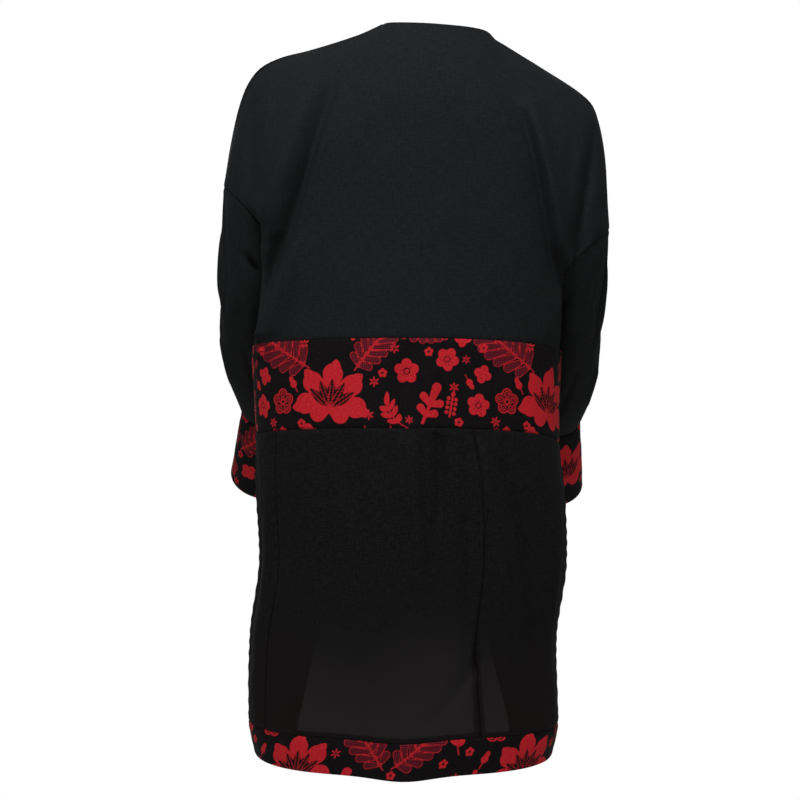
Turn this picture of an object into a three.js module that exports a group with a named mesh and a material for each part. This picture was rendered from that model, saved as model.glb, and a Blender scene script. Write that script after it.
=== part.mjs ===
// Open-front manteau: a dropped-shoulder crepe bodice, an inset waistband, a semi-sheer
// skirt in panels, and bands of patterned cloth at the cuffs, waist and hem.
// It keeps the hollow form it has when it is worn, one arm hanging a little lower.
//
// Millimetres, +Z up. The back faces +Y, the fronts face -Y and the wearer's left is +X.
// The origin is on the shoulder line, where the wearer's shoulders carry the garment.

import * as THREE from 'three';

// ---------------------------------------------------------------- cloth and seams
const crepeWall = 1.5;
const bandWall = 2;
const seamGap = 0.3;
const armholeGap = 0.6;

// ---------------------------------------------------------------- body below the waist seam
// One row for each ring. down: distance down the centre back from the waist seam.
// The z columns are the ring's height at the back, at each side and at the front;
// left and right are its reach in X, back and front its depth in Y.
// squareBack and squareFront: 2 is an ellipse, more is squarer, less is leaner.
const rings = [
  { down: 0, zBack: -335, zLeft: -347, zRight: -356, zFront: -343, left: 209, right: -162,
    back: 108, front: 104, squareBack: 2.2, squareFront: 1.8 },
  { down: 102, zBack: -437, zLeft: -449, zRight: -461, zFront: -447, left: 204, right: -160,
    back: 113, front: 106, squareBack: 2.2, squareFront: 1.9 },
  { down: 170, zBack: -505, zLeft: -514, zRight: -523, zFront: -513, left: 204, right: -167,
    back: 119, front: 109, squareBack: 2.3, squareFront: 2.1 },
  { down: 262, zBack: -597, zLeft: -599, zRight: -605, zFront: -598, left: 200, right: -169,
    back: 121, front: 112, squareBack: 2.3, squareFront: 2.2 },
  { down: 355, zBack: -690, zLeft: -685, zRight: -690, zFront: -687, left: 211, right: -157,
    back: 119, front: 114, squareBack: 2.4, squareFront: 2.3 },
  { down: 461, zBack: -796, zLeft: -785, zRight: -789, zFront: -791, left: 212, right: -158,
    back: 118, front: 116, squareBack: 2.6, squareFront: 2.4 },
  { down: 505, zBack: -838, zLeft: -819, zRight: -822, zFront: -832, left: 205, right: -151,
    back: 114, front: 112, squareBack: 2.6, squareFront: 2.4 },
];
const waistTop = 0;
const waistBottom = 102;
const hemTop = 461;
const hemBottom = 505;

// Half width of the front opening, measured from the middle of the ring.
const frontOpening = [
  { down: 0, half: 22 },
  { down: 102, half: 34 },
  { down: 262, half: 78 },
  { down: 461, half: 128 },
  { down: 505, half: 134 },
];

// ---------------------------------------------------------------- shoulders and neck
// Each shoulder seam runs from the side of the neck over the shoulder to the armhole.
const shoulders = {
  left: [
    { x: 52, y: -2, z: 44 }, { x: 78, y: -2, z: 32 }, { x: 139, y: 0, z: 14 },
    { x: 174, y: 0, z: 5 }, { x: 198, y: 0, z: -7 }, { x: 213, y: -1, z: -25 },
    { x: 224, y: -2, z: -52 }, { x: 235, y: -4, z: -100 }, { x: 243, y: -4.5, z: -151.5 },
  ],
  right: [
    { x: -84, y: -2, z: 26 }, { x: -100, y: -1, z: 13 }, { x: -137, y: 0, z: -7 },
    { x: -186, y: 0, z: -38 }, { x: -200, y: 0, z: -52 }, { x: -208, y: -1, z: -73 },
    { x: -216, y: -3, z: -118 }, { x: -219, y: -4.5, z: -203 },
  ],
};
const neckBack = [{ x: -70, y: 20, z: 34 }, { x: -14, y: 45, z: 34 }, { x: 43, y: 22, z: 43 }];
const neckFront = { x: -14, y: -84, z: -62, halfGap: 7 };

// Fullest line of the back, and of each front, from armhole to armhole.
const blades = { x: -4, y: 101, z: -78, square: 2.5 };
const chest = { y: -92, z: -70, square: 2.4 };

// An armhole is a leaning ellipse: its middle, its reach to the top and its reach to the back.
const armholes = {
  left: { middle: [204, -2, -193], up: [39, -2.5, 41.5], back: [0, 60, 2.5] },
  right: { middle: [-177, -2, -239], up: [-42, -2.5, 36], back: [-6, 60, 4] },
};
// The side seam drops from the underarm, drawn in beside the arm, to the waist seam.
const sideSeams = {
  left: [{ x: 157, y: 6, z: -259 }, { x: 174, y: 8, z: -305 }],
  right: [{ x: -128, y: 6, z: -298 }, { x: -141, y: 7, z: -330 }],
};

// ---------------------------------------------------------------- sleeves and cuffs
// Middles of the sleeve from the upper arm to the wrist, each with its radius.
const sleeveRings = {
  left: [
    { x: 207, y: -20, z: -263, radius: 43 }, { x: 207, y: -50, z: -302, radius: 43 },
    { x: 208, y: -88, z: -348, radius: 44 }, { x: 202, y: -121, z: -387, radius: 45 },
    { x: 197, y: -143, z: -414, radius: 40 },
  ],
  right: [
    { x: -177, y: -20, z: -292, radius: 41 }, { x: -176, y: -46, z: -327, radius: 41 },
    { x: -173, y: -88, z: -370, radius: 43 }, { x: -165, y: -122, z: -404, radius: 43 },
    { x: -161, y: -143, z: -426, radius: 38 },
  ],
};
const cuffEnds = {
  left: { x: 201, y: -214, z: -499, radius: 48 },
  right: { x: -158, y: -211, z: -511, radius: 45 },
};
// The body's cloth keeps this clear of the sleeve, which starts with this radius.
const armholeRadius = 58;
const armClearance = 9;

// A panel's edge is a side seam when it runs this near the shoulder line in depth and this
// far from the panel's middle; an edge this far from the origin is an armhole.
const sideSeamDepth = 14;
const sideReach = 40;
const armholeReach = 100;

// ---------------------------------------------------------------- largest folds
// Each fold runs from, through bend, to end, as seen from behind (back: 1) or from the
// front (back: -1). depth is outward, so a trough is negative; width is from its middle
// to where it has faded.
const folds = [
  { back: 1, from: [91, -40], bend: [148, -175], to: [194, -322], depth: 9, width: 20 },
  { back: 1, from: [120, -70], bend: [176, -185], to: [199, -300], depth: -9, width: 20 },
  { back: 1, from: [203, -40], bend: [205, -100], to: [200, -165], depth: -12, width: 18 },
  { back: 1, from: [-118, -90], bend: [-146, -190], to: [-160, -332], depth: -11, width: 18 },
  { back: 1, from: [-200, -85], bend: [-181, -160], to: [-162, -285], depth: -12, width: 17 },
  { back: 1, from: [20, -350], bend: [24, -392], to: [26, -440], depth: -4, width: 16 },
  { back: 1, from: [-5, -345], bend: [-3, -392], to: [-2, -440], depth: 4, width: 15 },
  { back: 1, from: [172, -470], bend: [176, -620], to: [181, -800], depth: -6, width: 18 },
  { back: 1, from: [-47, -470], bend: [-50, -620], to: [-58, -800], depth: -5, width: 16 },
  { back: 1, from: [-66, -480], bend: [-84, -570], to: [-97, -700], depth: 8, width: 22 },
  { back: 1, from: [62, -520], bend: [66, -660], to: [72, -800], depth: 6, width: 34 },
  { back: -1, from: [110, -110], bend: [122, -220], to: [132, -330], depth: -8, width: 22 },
  { back: -1, from: [-90, -130], bend: [-92, -230], to: [-96, -335], depth: -8, width: 20 },
  { back: -1, from: [120, -480], bend: [152, -640], to: [172, -800], depth: -7, width: 26 },
  { back: -1, from: [-70, -500], bend: [-98, -650], to: [-126, -800], depth: -7, width: 24 },
];

// ---------------------------------------------------------------- how finely it is faceted
const neckColumns = 8;
const shoulderColumns = 10;
const sideRows = 8;
const armholeRows = 8;
const sleeveRows = 12;
const upperArmRows = 4;
const cuffRows = 3;
const waistRows = 3;
const skirtRows = 10;
const hemRows = 2;

const neckAngle = 30;
const sideAngle = 90;

// ---------------------------------------------------------------- helpers
const { lerp, smoothstep, degToRad } = THREE.MathUtils;
const toVector = ({ x, y, z }) => new THREE.Vector3(x, y, z);
const smoothCurve = (points) => new THREE.CatmullRomCurve3(points, false, 'centripetal');

// A row of the table between its rows: each column follows a cubic through them.
function between(table, key, at) {
  const last = table.length - 2;
  let index = 0;
  while (index < last && at > table[index + 1][key]) index += 1;
  const [low, high] = [table[index], table[index + 1]];
  const [before, after] = [table[index - 1] ?? low, table[index + 2] ?? high];
  const span = high[key] - low[key];
  const t = (at - low[key]) / span;
  const row = {};
  for (const column of Object.keys(low)) {
    const startSlope = (high[column] - before[column]) / (high[key] - before[key]) * span;
    const endSlope = (after[column] - low[column]) / (after[key] - low[key]) * span;
    row[column] = low[column] * (1 + t * t * (2 * t - 3)) + high[column] * t * t * (3 - 2 * t)
      + startSlope * t * (1 - t) ** 2 - endSlope * t * t * (1 - t);
  }
  return row;
}

const signedPower = (value, power) => Math.sign(value) * Math.abs(value) ** power;

// ---------------------------------------------------------------- folds
const foldSamples = 10;
const foldTail = 0.12; // share of a fold's fade that lies beyond its first end
const foldSpan = 0.8; // share of its fade that the fold itself takes up
const foldsStart = 12; // folds begin this far behind or before the shoulder line
const foldsFull = 45; // and reach their whole depth here
const foldPaths = folds.map((fold) => {
  const corners = [fold.from, fold.bend, fold.to].map(([x, z]) => new THREE.Vector2(x, z));
  const control = corners[1].clone().multiplyScalar(2)
    .sub(corners[0].clone().add(corners[2]).multiplyScalar(0.5));
  return new THREE.QuadraticBezierCurve(corners[0], control, corners[2]).getPoints(foldSamples);
});

// How far a fold lifts the cloth at a place: a bell across it that fades out at its ends.
function foldLift(fold, path, place) {
  let nearest = Infinity;
  let along = 0;
  for (let index = 0; index < foldSamples; index += 1) {
    const step = path[index + 1].clone().sub(path[index]);
    const offset = place.clone().sub(path[index]);
    const t = THREE.MathUtils.clamp(offset.dot(step) / step.lengthSq(), 0, 1);
    const distance = offset.sub(step.multiplyScalar(t)).length();
    if (distance < nearest) {
      nearest = distance;
      along = (index + t) / foldSamples;
    }
  }
  const fade = Math.sin(Math.PI * (foldTail + along * foldSpan)) ** 0.6;
  return fold.depth * fade * Math.exp(-((nearest / fold.width) ** 2) * 2);
}

// The folds push the cloth straight back or straight forward.
function fold(point) {
  const place = new THREE.Vector2(point.x, point.z);
  const facing = smoothstep(Math.abs(point.y), foldsStart, foldsFull);
  let lift = 0;
  folds.forEach((row, index) => {
    if (row.back * point.y > 0) lift += foldLift(row, foldPaths[index], place);
  });
  point.y += Math.sign(point.y) * lift * facing;
  return point;
}

// ---------------------------------------------------------------- rings below the waist
const heightPower = 0.7; // below 1, a ring's height stays near its middle value for longer

// angle: 0 at the centre back, 90 at the left side, -90 at the right side, 180 at the front.
function ringPoint(angle, down) {
  const ring = between(rings, 'down', down);
  const sideways = Math.sin(degToRad(angle));
  const backward = Math.cos(degToRad(angle));
  const isBack = backward > 0;
  const power = 2 / (isBack ? ring.squareBack : ring.squareFront);
  const zSide = sideways > 0 ? ring.zLeft : ring.zRight;
  return new THREE.Vector3(
    (ring.left + ring.right) / 2
      + (ring.left - ring.right) / 2 * signedPower(sideways, power),
    (isBack ? ring.back : ring.front) * signedPower(backward, power),
    lerp(zSide, isBack ? ring.zBack : ring.zFront, Math.abs(backward) ** heightPower),
  );
}

// The angle at which a ring reaches the front edge.
function edgeAngle(down) {
  const ring = between(rings, 'down', down);
  const { half } = between(frontOpening, 'down', down);
  const reach = half / ((ring.left - ring.right) / 2);
  return 180 - THREE.MathUtils.radToDeg(Math.asin(reach ** (ring.squareFront / 2)));
}

const sideSign = { left: 1, right: -1 };
const frontAngle = (side, across, down) => sideSign[side] * lerp(sideAngle, edgeAngle(down), across);

// ---------------------------------------------------------------- seams of the bodice
const seams = {};
for (const side of ['left', 'right']) {
  const { middle, up, back } = armholes[side];
  const [centre, top, rear] = [middle, up, back].map((v) => new THREE.Vector3(...v));
  const armhole = (turn) => centre.clone()
    .addScaledVector(top, Math.cos(turn)).addScaledVector(rear, Math.sin(turn));
  const sideSeam = smoothCurve([
    ringPoint(sideSign[side] * sideAngle, waistTop),
    ...sideSeams[side].map(toVector).reverse(),
    armhole(Math.PI),
  ]);
  seams[side] = { armhole, sideSeam, shoulder: smoothCurve(shoulders[side].map(toVector)) };
}
const neckline = smoothCurve([
  toVector(shoulders.right[0]), ...neckBack.map(toVector), toVector(shoulders.left[0]),
]);

// Heights on a bodice panel: 0 waist seam, underarm where the armhole starts,
// fullest where the armhole is widest, 1 the shoulder seam.
const underarm = 0.5;
const fullest = 0.75;

// How far the back rolls over, in degrees, to the neckline and to the shoulder seams.
const neckRoll = 55;
const shoulderRoll = 90;

// Outer edge of a panel: up the side seam, then round half of the armhole.
function outerEdge(side, facing, height) {
  if (height <= underarm) return seams[side].sideSeam.getPoint(height / underarm);
  const turn = Math.PI * (1 - (height - underarm) / (1 - underarm));
  return seams[side].armhole(facing * turn);
}

// A panel is drawn from the waist row up to its fullest row, and from there rolls over to
// the top row along part of an ellipse that ends at the angle rollEnd.
function drawnPanel(waist, full, top, height, rollEnd) {
  if (height <= fullest) return waist.clone().lerp(full, height / fullest);
  const end = degToRad(rollEnd);
  const turn = end * (height - fullest) / (1 - fullest);
  const rise = Math.sin(turn) / Math.sin(end);
  const depth = (Math.cos(turn) - Math.cos(end)) / (1 - Math.cos(end));
  return new THREE.Vector3(
    lerp(full.x, top.x, rise), lerp(top.y, full.y, depth), lerp(full.z, top.z, rise),
  );
}

// across: -1 at the right armhole, 1 at the left armhole.
function backPoint(across, height) {
  const side = across > 0 ? 'left' : 'right';
  const reach = Math.abs(across);
  const neckShare = neckAngle / sideAngle;
  const end = seams[side].armhole(Math.PI / 2);
  const power = 2 / blades.square;
  const full = new THREE.Vector3(
    lerp(blades.x, end.x, Math.sin(reach * Math.PI / 2) ** power),
    lerp(end.y, blades.y, Math.cos(reach * Math.PI / 2) ** power),
    lerp(blades.z, end.z, smoothstep(reach, 0, 1)),
  );
  const top = reach <= neckShare
    ? neckline.getPoint((across / neckShare + 1) / 2)
    : seams[side].shoulder.getPointAt((reach - neckShare) / (1 - neckShare));
  const rollEnd = lerp(neckRoll, shoulderRoll, smoothstep(reach, 0.2, 0.6));
  return drawnPanel(ringPoint(across * sideAngle, waistTop), full, top, height, rollEnd);
}

// Front edge: up the opening to the base of the neck, then round the neckline.
function innerEdge(side, height) {
  const waist = ringPoint(frontAngle(side, 1, waistTop), waistTop);
  const base = new THREE.Vector3(
    neckFront.x + sideSign[side] * neckFront.halfGap, neckFront.y, neckFront.z,
  );
  if (height <= fullest) return waist.lerp(base, height / fullest);
  const neckSide = toVector(shoulders[side][0]);
  const turn = Math.PI / 2 * (height - fullest) / (1 - fullest);
  return new THREE.Vector3(
    lerp(base.x, neckSide.x, Math.sin(turn)),
    lerp(neckSide.y, base.y, Math.cos(turn) ** 0.8),
    lerp(neckSide.z, base.z, Math.cos(turn)),
  );
}

// across: 0 at the side, 1 at the front edge.
function frontPoint(side, across, height) {
  const reach = 1 - across;
  const end = seams[side].armhole(-Math.PI / 2);
  const power = 2 / chest.square;
  const full = new THREE.Vector3(
    lerp(innerEdge(side, fullest).x, end.x, Math.sin(reach * Math.PI / 2) ** power),
    lerp(end.y, chest.y, Math.cos(reach * Math.PI / 2) ** power),
    lerp(chest.z, end.z, smoothstep(reach, 0, 1)),
  );
  const top = seams[side].shoulder.getPointAt(reach);
  const waist = ringPoint(frontAngle(side, across, waistTop), waistTop);
  return drawnPanel(waist, full, top, height, shoulderRoll);
}

// ---------------------------------------------------------------- grids
const pullPower = 1.3; // above 1, the pull of a seam fades sooner beside it
const relaxRounds = 3;

const steps = (from, to, count) =>
  Array.from({ length: count + 1 }, (_, index) => lerp(from, to, index / count));

// Rows run down the cloth and columns run from the right, round the back, to the left.
const makeGrid = (rows, columns, pointAt) =>
  rows.map((row) => columns.map((column) => pointAt(column, row)));

// Moves a panel's side columns onto its seams, and eases the cloth beside them after them.
function pullToSeams(grid, firstSeam, lastSeam, easing) {
  grid.forEach((row, index) => {
    const last = row.length - 1;
    const firstPull = firstSeam[index].clone().sub(row[0]);
    const lastPull = lastSeam[index].clone().sub(row[last]);
    row.forEach((point, column) => {
      const share = column / last;
      point.addScaledVector(firstPull, Math.max(0, 1 - share / easing.first) ** pullPower);
      point.addScaledVector(lastPull, Math.max(0, 1 - (1 - share) / easing.last) ** pullPower);
    });
  });
}

// Evens out the inside of a grid; its edges stay.
function relax(grid, rounds) {
  for (let round = 0; round < rounds; round += 1) {
    const old = grid.map((row) => row.map((point) => point.clone()));
    for (let r = 1; r < grid.length - 1; r += 1) {
      for (let c = 1; c < grid[r].length - 1; c += 1) {
        const mean = old[r - 1][c].clone().add(old[r + 1][c]).add(old[r][c - 1]).add(old[r][c + 1]);
        grid[r][c].lerp(mean.multiplyScalar(0.25), 0.5);
      }
    }
  }
}

// Pushes the cloth beside an arm off the sleeve, so that the two stay clear.
function clearOfSleeve(point, side) {
  const [x, y, z] = armholes[side].middle;
  const rows = [{ x, y, z, radius: armholeRadius }, ...sleeveRings[side]];
  let nearest = { gap: Infinity };
  for (let index = 0; index < rows.length - 1; index += 1) {
    const [start, end] = [toVector(rows[index]), toVector(rows[index + 1])];
    const step = end.clone().sub(start);
    const share = point.clone().sub(start).dot(step) / step.lengthSq();
    if (index === 0 && share < 0) return point;
    const t = THREE.MathUtils.clamp(share, 0, 1);
    const axis = start.addScaledVector(step, t);
    const keep = lerp(rows[index].radius, rows[index + 1].radius, t) + armClearance;
    const gap = point.distanceTo(axis) - keep;
    if (gap < nearest.gap) nearest = { gap, axis, keep };
  }
  if (nearest.gap > 0) return point;
  const offset = point.clone().sub(nearest.axis).setLength(nearest.keep);
  return point.copy(nearest.axis).add(offset);
}

// ---------------------------------------------------------------- panels
const panels = [];
const addPanel = (name, grid, wall, round = false) => panels.push({ name, grid, wall, round });

const heights = [
  ...steps(1, underarm, armholeRows), ...steps(underarm, 0, sideRows).slice(1),
];
const backAngles = [
  ...steps(-sideAngle, -neckAngle, shoulderColumns),
  ...steps(-neckAngle, neckAngle, neckColumns).slice(1),
  ...steps(neckAngle, sideAngle, shoulderColumns).slice(1),
];
const frontShares = steps(0, 1, shoulderColumns);

function bodiceBack() {
  const grid = makeGrid(heights, backAngles, (angle, height) =>
    backPoint(angle / sideAngle, height));
  pullToSeams(
    grid,
    heights.map((height) => outerEdge('right', 1, height)),
    heights.map((height) => outerEdge('left', 1, height)),
    { first: 0.22, last: 0.22 },
  );
  relax(grid, relaxRounds);
  grid.slice(1, -1).forEach((row) => row.slice(1, -1).forEach(fold));
  return grid;
}

function bodiceFront(side) {
  const grid = makeGrid(heights, frontShares, (across, height) =>
    frontPoint(side, across, height));
  pullToSeams(
    grid,
    heights.map((height) => outerEdge(side, -1, height)),
    heights.map((height) => innerEdge(side, height)),
    { first: 0.45, last: 0.6 },
  );
  relax(grid, relaxRounds);
  grid.slice(1, -1).forEach((row) => row.slice(1).forEach(fold));
  return grid;
}

// Right-hand fronts run the other way, from the front edge to the side.
const inOrder = (side, grid) => (side === 'left' ? grid : grid.map((row) => [...row].reverse()));

function ringPanel(angleAt, columns, from, to, rows) {
  return makeGrid(steps(from, to, rows), columns, (column, down) =>
    fold(ringPoint(angleAt(column, down), down)));
}

const backStrip = (angles, from, to, rows) => ringPanel((angle) => angle, angles, from, to, rows);
addPanel('bodice_back', bodiceBack(), crepeWall);
addPanel('waistband_back', backStrip(backAngles, waistTop, waistBottom, waistRows), bandWall);

const rightSeamColumn = 11;
const leftSeamColumn = 22;
const skirtPanels = {
  skirt_back_right: backAngles.slice(0, rightSeamColumn + 1),
  skirt_back_centre: backAngles.slice(rightSeamColumn, leftSeamColumn + 1),
  skirt_back_left: backAngles.slice(leftSeamColumn),
};
for (const [name, angles] of Object.entries(skirtPanels)) {
  addPanel(name, backStrip(angles, waistBottom, hemTop, skirtRows), crepeWall);
}
addPanel('hem_band_back', backStrip(backAngles, hemTop, hemBottom, hemRows), bandWall);

for (const side of ['left', 'right']) {
  const angleAt = (across, down) => frontAngle(side, across, down);
  const strip = (from, to, rows) => inOrder(side, ringPanel(angleAt, frontShares, from, to, rows));
  addPanel(`bodice_front_${side}`, inOrder(side, bodiceFront(side)), crepeWall);
  addPanel(`waistband_front_${side}`, strip(waistTop, waistBottom, waistRows), bandWall);
  addPanel(`skirt_front_${side}`, strip(waistBottom, hemTop, skirtRows), crepeWall);
  addPanel(`hem_band_front_${side}`, strip(hemTop, hemBottom, hemRows), bandWall);
}

// The waist seam keeps one line, so the bodice takes its bottom row from the waistband.
const panelNamed = (name) => panels.find((panel) => panel.name === name);
for (const part of ['back', 'front_left', 'front_right']) {
  const [seamRow] = panelNamed(`waistband_${part}`).grid;
  const bodice = panelNamed(`bodice_${part}`).grid;
  bodice[bodice.length - 1].forEach((point, column) => point.copy(seamRow[column]));
}
const besideArms = (point) => clearOfSleeve(point, point.x > 0 ? 'left' : 'right');
for (const { name, grid } of panels) {
  const isBodice = name.startsWith('bodice');
  if (!isBodice && !name.startsWith('waistband')) continue;
  grid.forEach((row, index) => {
    const armholeRow = isBodice && index <= armholeRows;
    (armholeRow ? row.slice(1, -1) : row).forEach(besideArms);
  });
}

// ---------------------------------------------------------------- sleeves
// Turn 0 is the outside of the arm; the turn runs to the front first on the left arm and
// to the back first on the right arm, so that both sleeves face outward.
function armTurns(side) {
  const backHalf = heights.slice(0, armholeRows + 1).map((height) => outerEdge(side, 1, height));
  const frontHalf = heights.slice(0, armholeRows + 1).map((height) => outerEdge(side, -1, height));
  const [first, second] = side === 'left' ? [frontHalf, backHalf] : [backHalf, frontHalf];
  return [...first, ...second.slice(1, -1).reverse()];
}

// A circle across the arm: outward is away from the body, rearward is across both.
function armCircle(side, centre, direction, radius, count) {
  const outward = new THREE.Vector3(sideSign[side], 0, 0);
  outward.addScaledVector(direction, -outward.dot(direction)).normalize();
  const rearward = new THREE.Vector3().crossVectors(outward, direction).normalize();
  if (rearward.y < 0) rearward.negate();
  const towards = side === 'left' ? -1 : 1;
  return Array.from({ length: count }, (_, index) => {
    const turn = 2 * Math.PI * index / count;
    return centre.clone()
      .addScaledVector(outward, radius * Math.cos(turn))
      .addScaledVector(rearward, towards * radius * Math.sin(turn));
  });
}

for (const side of ['left', 'right']) {
  const armholeRing = armTurns(side);
  const count = armholeRing.length;
  const path = smoothCurve(sleeveRings[side].map(toVector));
  const lowerRows = sleeveRows - upperArmRows;
  const radii = sleeveRings[side].map(({ radius }, at) => ({ at, radius }));
  const circleAt = (share) => {
    const { radius } = between(radii, 'at', share * (radii.length - 1));
    return armCircle(side, path.getPoint(share), path.getTangent(share), radius, count);
  };
  const firstCircle = circleAt(0);
  const grid = [
    ...steps(0, 1, upperArmRows).slice(0, -1).map((share) =>
      armholeRing.map((point, index) => point.clone().lerp(firstCircle[index], share))),
    ...steps(0, 1, lowerRows).map(circleAt),
  ];
  addPanel(`sleeve_${side}`, grid, crepeWall, true);

  const wrist = grid[grid.length - 1];
  const cuffEnd = cuffEnds[side];
  const along = toVector(cuffEnd).sub(path.getPoint(1)).normalize();
  const endCircle = armCircle(side, toVector(cuffEnd), along, cuffEnd.radius, count);
  const cuffGrid = steps(0, 1, cuffRows).map((share) =>
    wrist.map((point, index) => point.clone().lerp(endCircle[index], share)));
  addPanel(`cuff_${side}`, cuffGrid, bandWall, true);
}

// ---------------------------------------------------------------- from grids to cloth walls
// Outward direction of the cloth at each grid point.
function gridNormals({ grid, round }) {
  const lastRow = grid.length - 1;
  const columns = grid[0].length;
  return grid.map((row, r) => row.map((_, c) => {
    const right = round ? row[(c + 1) % columns] : row[Math.min(c + 1, columns - 1)];
    const left = round ? row[(c - 1 + columns) % columns] : row[Math.max(c - 1, 0)];
    const below = grid[Math.min(r + 1, lastRow)][c];
    const above = grid[Math.max(r - 1, 0)][c];
    return right.clone().sub(left).cross(below.clone().sub(above)).normalize();
  }));
}

const placeKey = (point) => point.toArray().map((value) => value.toFixed(2)).join();

// Where panels are sewn together they share one outward direction.
const sharedNormals = new Map();
for (const panel of panels) {
  panel.normals = gridNormals(panel);
  panel.grid.forEach((row, r) => row.forEach((point, c) => {
    const key = placeKey(point);
    const sum = sharedNormals.get(key) ?? new THREE.Vector3();
    sharedNormals.set(key, sum.add(panel.normals[r][c]));
  }));
}
for (const side of ['left', 'right']) {
  const centre = new THREE.Vector3(...armholes[side].middle);
  for (const point of armTurns(side)) {
    const away = point.clone().sub(centre).normalize();
    sharedNormals.get(placeKey(point))?.add(away);
  }
}

// Draws each edge back by half of the seam's gap: straight back or forward where a back
// panel meets a front, away from the sleeve round an armhole, and elsewhere square to the
// seam, into the panel.
function drawBack(panel, normals) {
  const { name, grid, round } = panel;
  const lastRow = grid.length - 1;
  const lastColumn = grid[0].length - 1;
  const isBodice = name.startsWith('bodice');
  const facing = Math.sign(grid[lastRow][Math.round(lastColumn / 2)].y);
  return grid.map((row, r) => row.map((point, c) => {
    const moved = point.clone();
    const toSide = round ? row[(c + 1) % row.length] : row[Math.min(c + 1, lastColumn)];
    const fromSide = round ? row[(c + lastColumn) % row.length] : row[Math.max(c - 1, 0)];
    const above = grid[Math.max(r - 1, 0)][c];
    const below = grid[Math.min(r + 1, lastRow)][c];
    const draw = (start, end, inside, gap = seamGap) => {
      const square = new THREE.Vector3().crossVectors(normals[r][c], end.clone().sub(start));
      const sense = Math.sign(square.dot(inside.clone().sub(point))) || 1;
      moved.addScaledVector(square.normalize(), sense * gap / 2);
    };
    const sleeveMiddle = toVector(sleeveRings[point.x > 0 ? 'left' : 'right'][0]);
    if (name.startsWith('sleeve') && r === 0) {
      draw(fromSide, toSide, sleeveMiddle, armholeGap);
    } else if (isBodice && r === 0) {
      moved.y += facing * seamGap / 2;
    } else if (r === 0) {
      draw(fromSide, toSide, below);
    }
    if (r === lastRow) draw(fromSide, toSide, above);
    if (round || (c > 0 && c < lastColumn)) return moved;
    const atSide = Math.abs(point.x - grid[lastRow][Math.round(lastColumn / 2)].x) > sideReach
      && Math.abs(point.y) < sideSeamDepth;
    if (isBodice && r <= armholeRows && Math.abs(point.x) > armholeReach) {
      const away = point.clone().multiplyScalar(2).sub(sleeveMiddle);
      draw(above, r === armholeRows ? point : below, away, armholeGap);
      if (r === armholeRows) moved.y += facing * seamGap / 2;
    } else if (atSide) {
      moved.y += facing * seamGap / 2;
    } else {
      draw(above, below, row[c === 0 ? 1 : lastColumn - 1]);
    }
    return moved;
  }));
}

// A wall: the outer faces, the inner faces a wall's thickness behind them, and the edges.
function wallGeometry(panel) {
  const { grid, wall, round } = panel;
  const normals = grid.map((row) => row.map((point) =>
    sharedNormals.get(placeKey(point)).clone().normalize()));
  const outer = drawBack(panel, normals);
  const rows = grid.length;
  const columns = grid[0].length;
  const positions = [];
  outer.forEach((row) => row.forEach((point) => positions.push(...point.toArray())));
  outer.forEach((row, r) => row.forEach((point, c) =>
    positions.push(...point.clone().addScaledVector(normals[r][c], -wall).toArray())));

  const outside = (r, c) => r * columns + (c % columns);
  const inside = (r, c) => rows * columns + outside(r, c);
  const faces = [];
  const quad = (a, b, c, d) => faces.push(a, c, b, a, d, c);
  const spans = round ? columns : columns - 1;
  for (let r = 0; r < rows - 1; r += 1) {
    for (let c = 0; c < spans; c += 1) {
      quad(outside(r, c), outside(r + 1, c), outside(r + 1, c + 1), outside(r, c + 1));
      quad(inside(r, c), inside(r, c + 1), inside(r + 1, c + 1), inside(r + 1, c));
    }
  }
  for (let c = 0; c < spans; c += 1) {
    quad(outside(0, c), outside(0, c + 1), inside(0, c + 1), inside(0, c));
    quad(outside(rows - 1, c + 1), outside(rows - 1, c),
      inside(rows - 1, c), inside(rows - 1, c + 1));
  }
  if (!round) {
    const last = columns - 1;
    for (let r = 0; r < rows - 1; r += 1) {
      quad(outside(r + 1, 0), outside(r, 0), inside(r, 0), inside(r + 1, 0));
      quad(outside(r, last), outside(r + 1, last), inside(r + 1, last), inside(r, last));
    }
  }
  const geometry = new THREE.BufferGeometry();
  geometry.setAttribute('position', new THREE.Float32BufferAttribute(positions, 3));
  geometry.setIndex(faces);
  geometry.computeVertexNormals();
  return geometry;
}

// ---------------------------------------------------------------- the garment
const finishes = {
  crepe: { color: '#1d1d1e', roughness: 0.85, metalness: 0 },
  sheerCrepe: { color: '#161617', roughness: 0.85, metalness: 0 },
  patternedBand: { color: '#5a1a1e', roughness: 0.7, metalness: 0 },
};
const finishOf = (name) => {
  if (/cuff|band/.test(name)) return finishes.patternedBand;
  return name.startsWith('skirt') ? finishes.sheerCrepe : finishes.crepe;
};

const manteau = new THREE.Group();
for (const panel of panels) {
  const material = new THREE.MeshStandardMaterial(finishOf(panel.name));
  const mesh = new THREE.Mesh(wallGeometry(panel), material);
  mesh.name = panel.name;
  manteau.add(mesh);
}

export default manteau;
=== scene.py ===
import math

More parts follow.
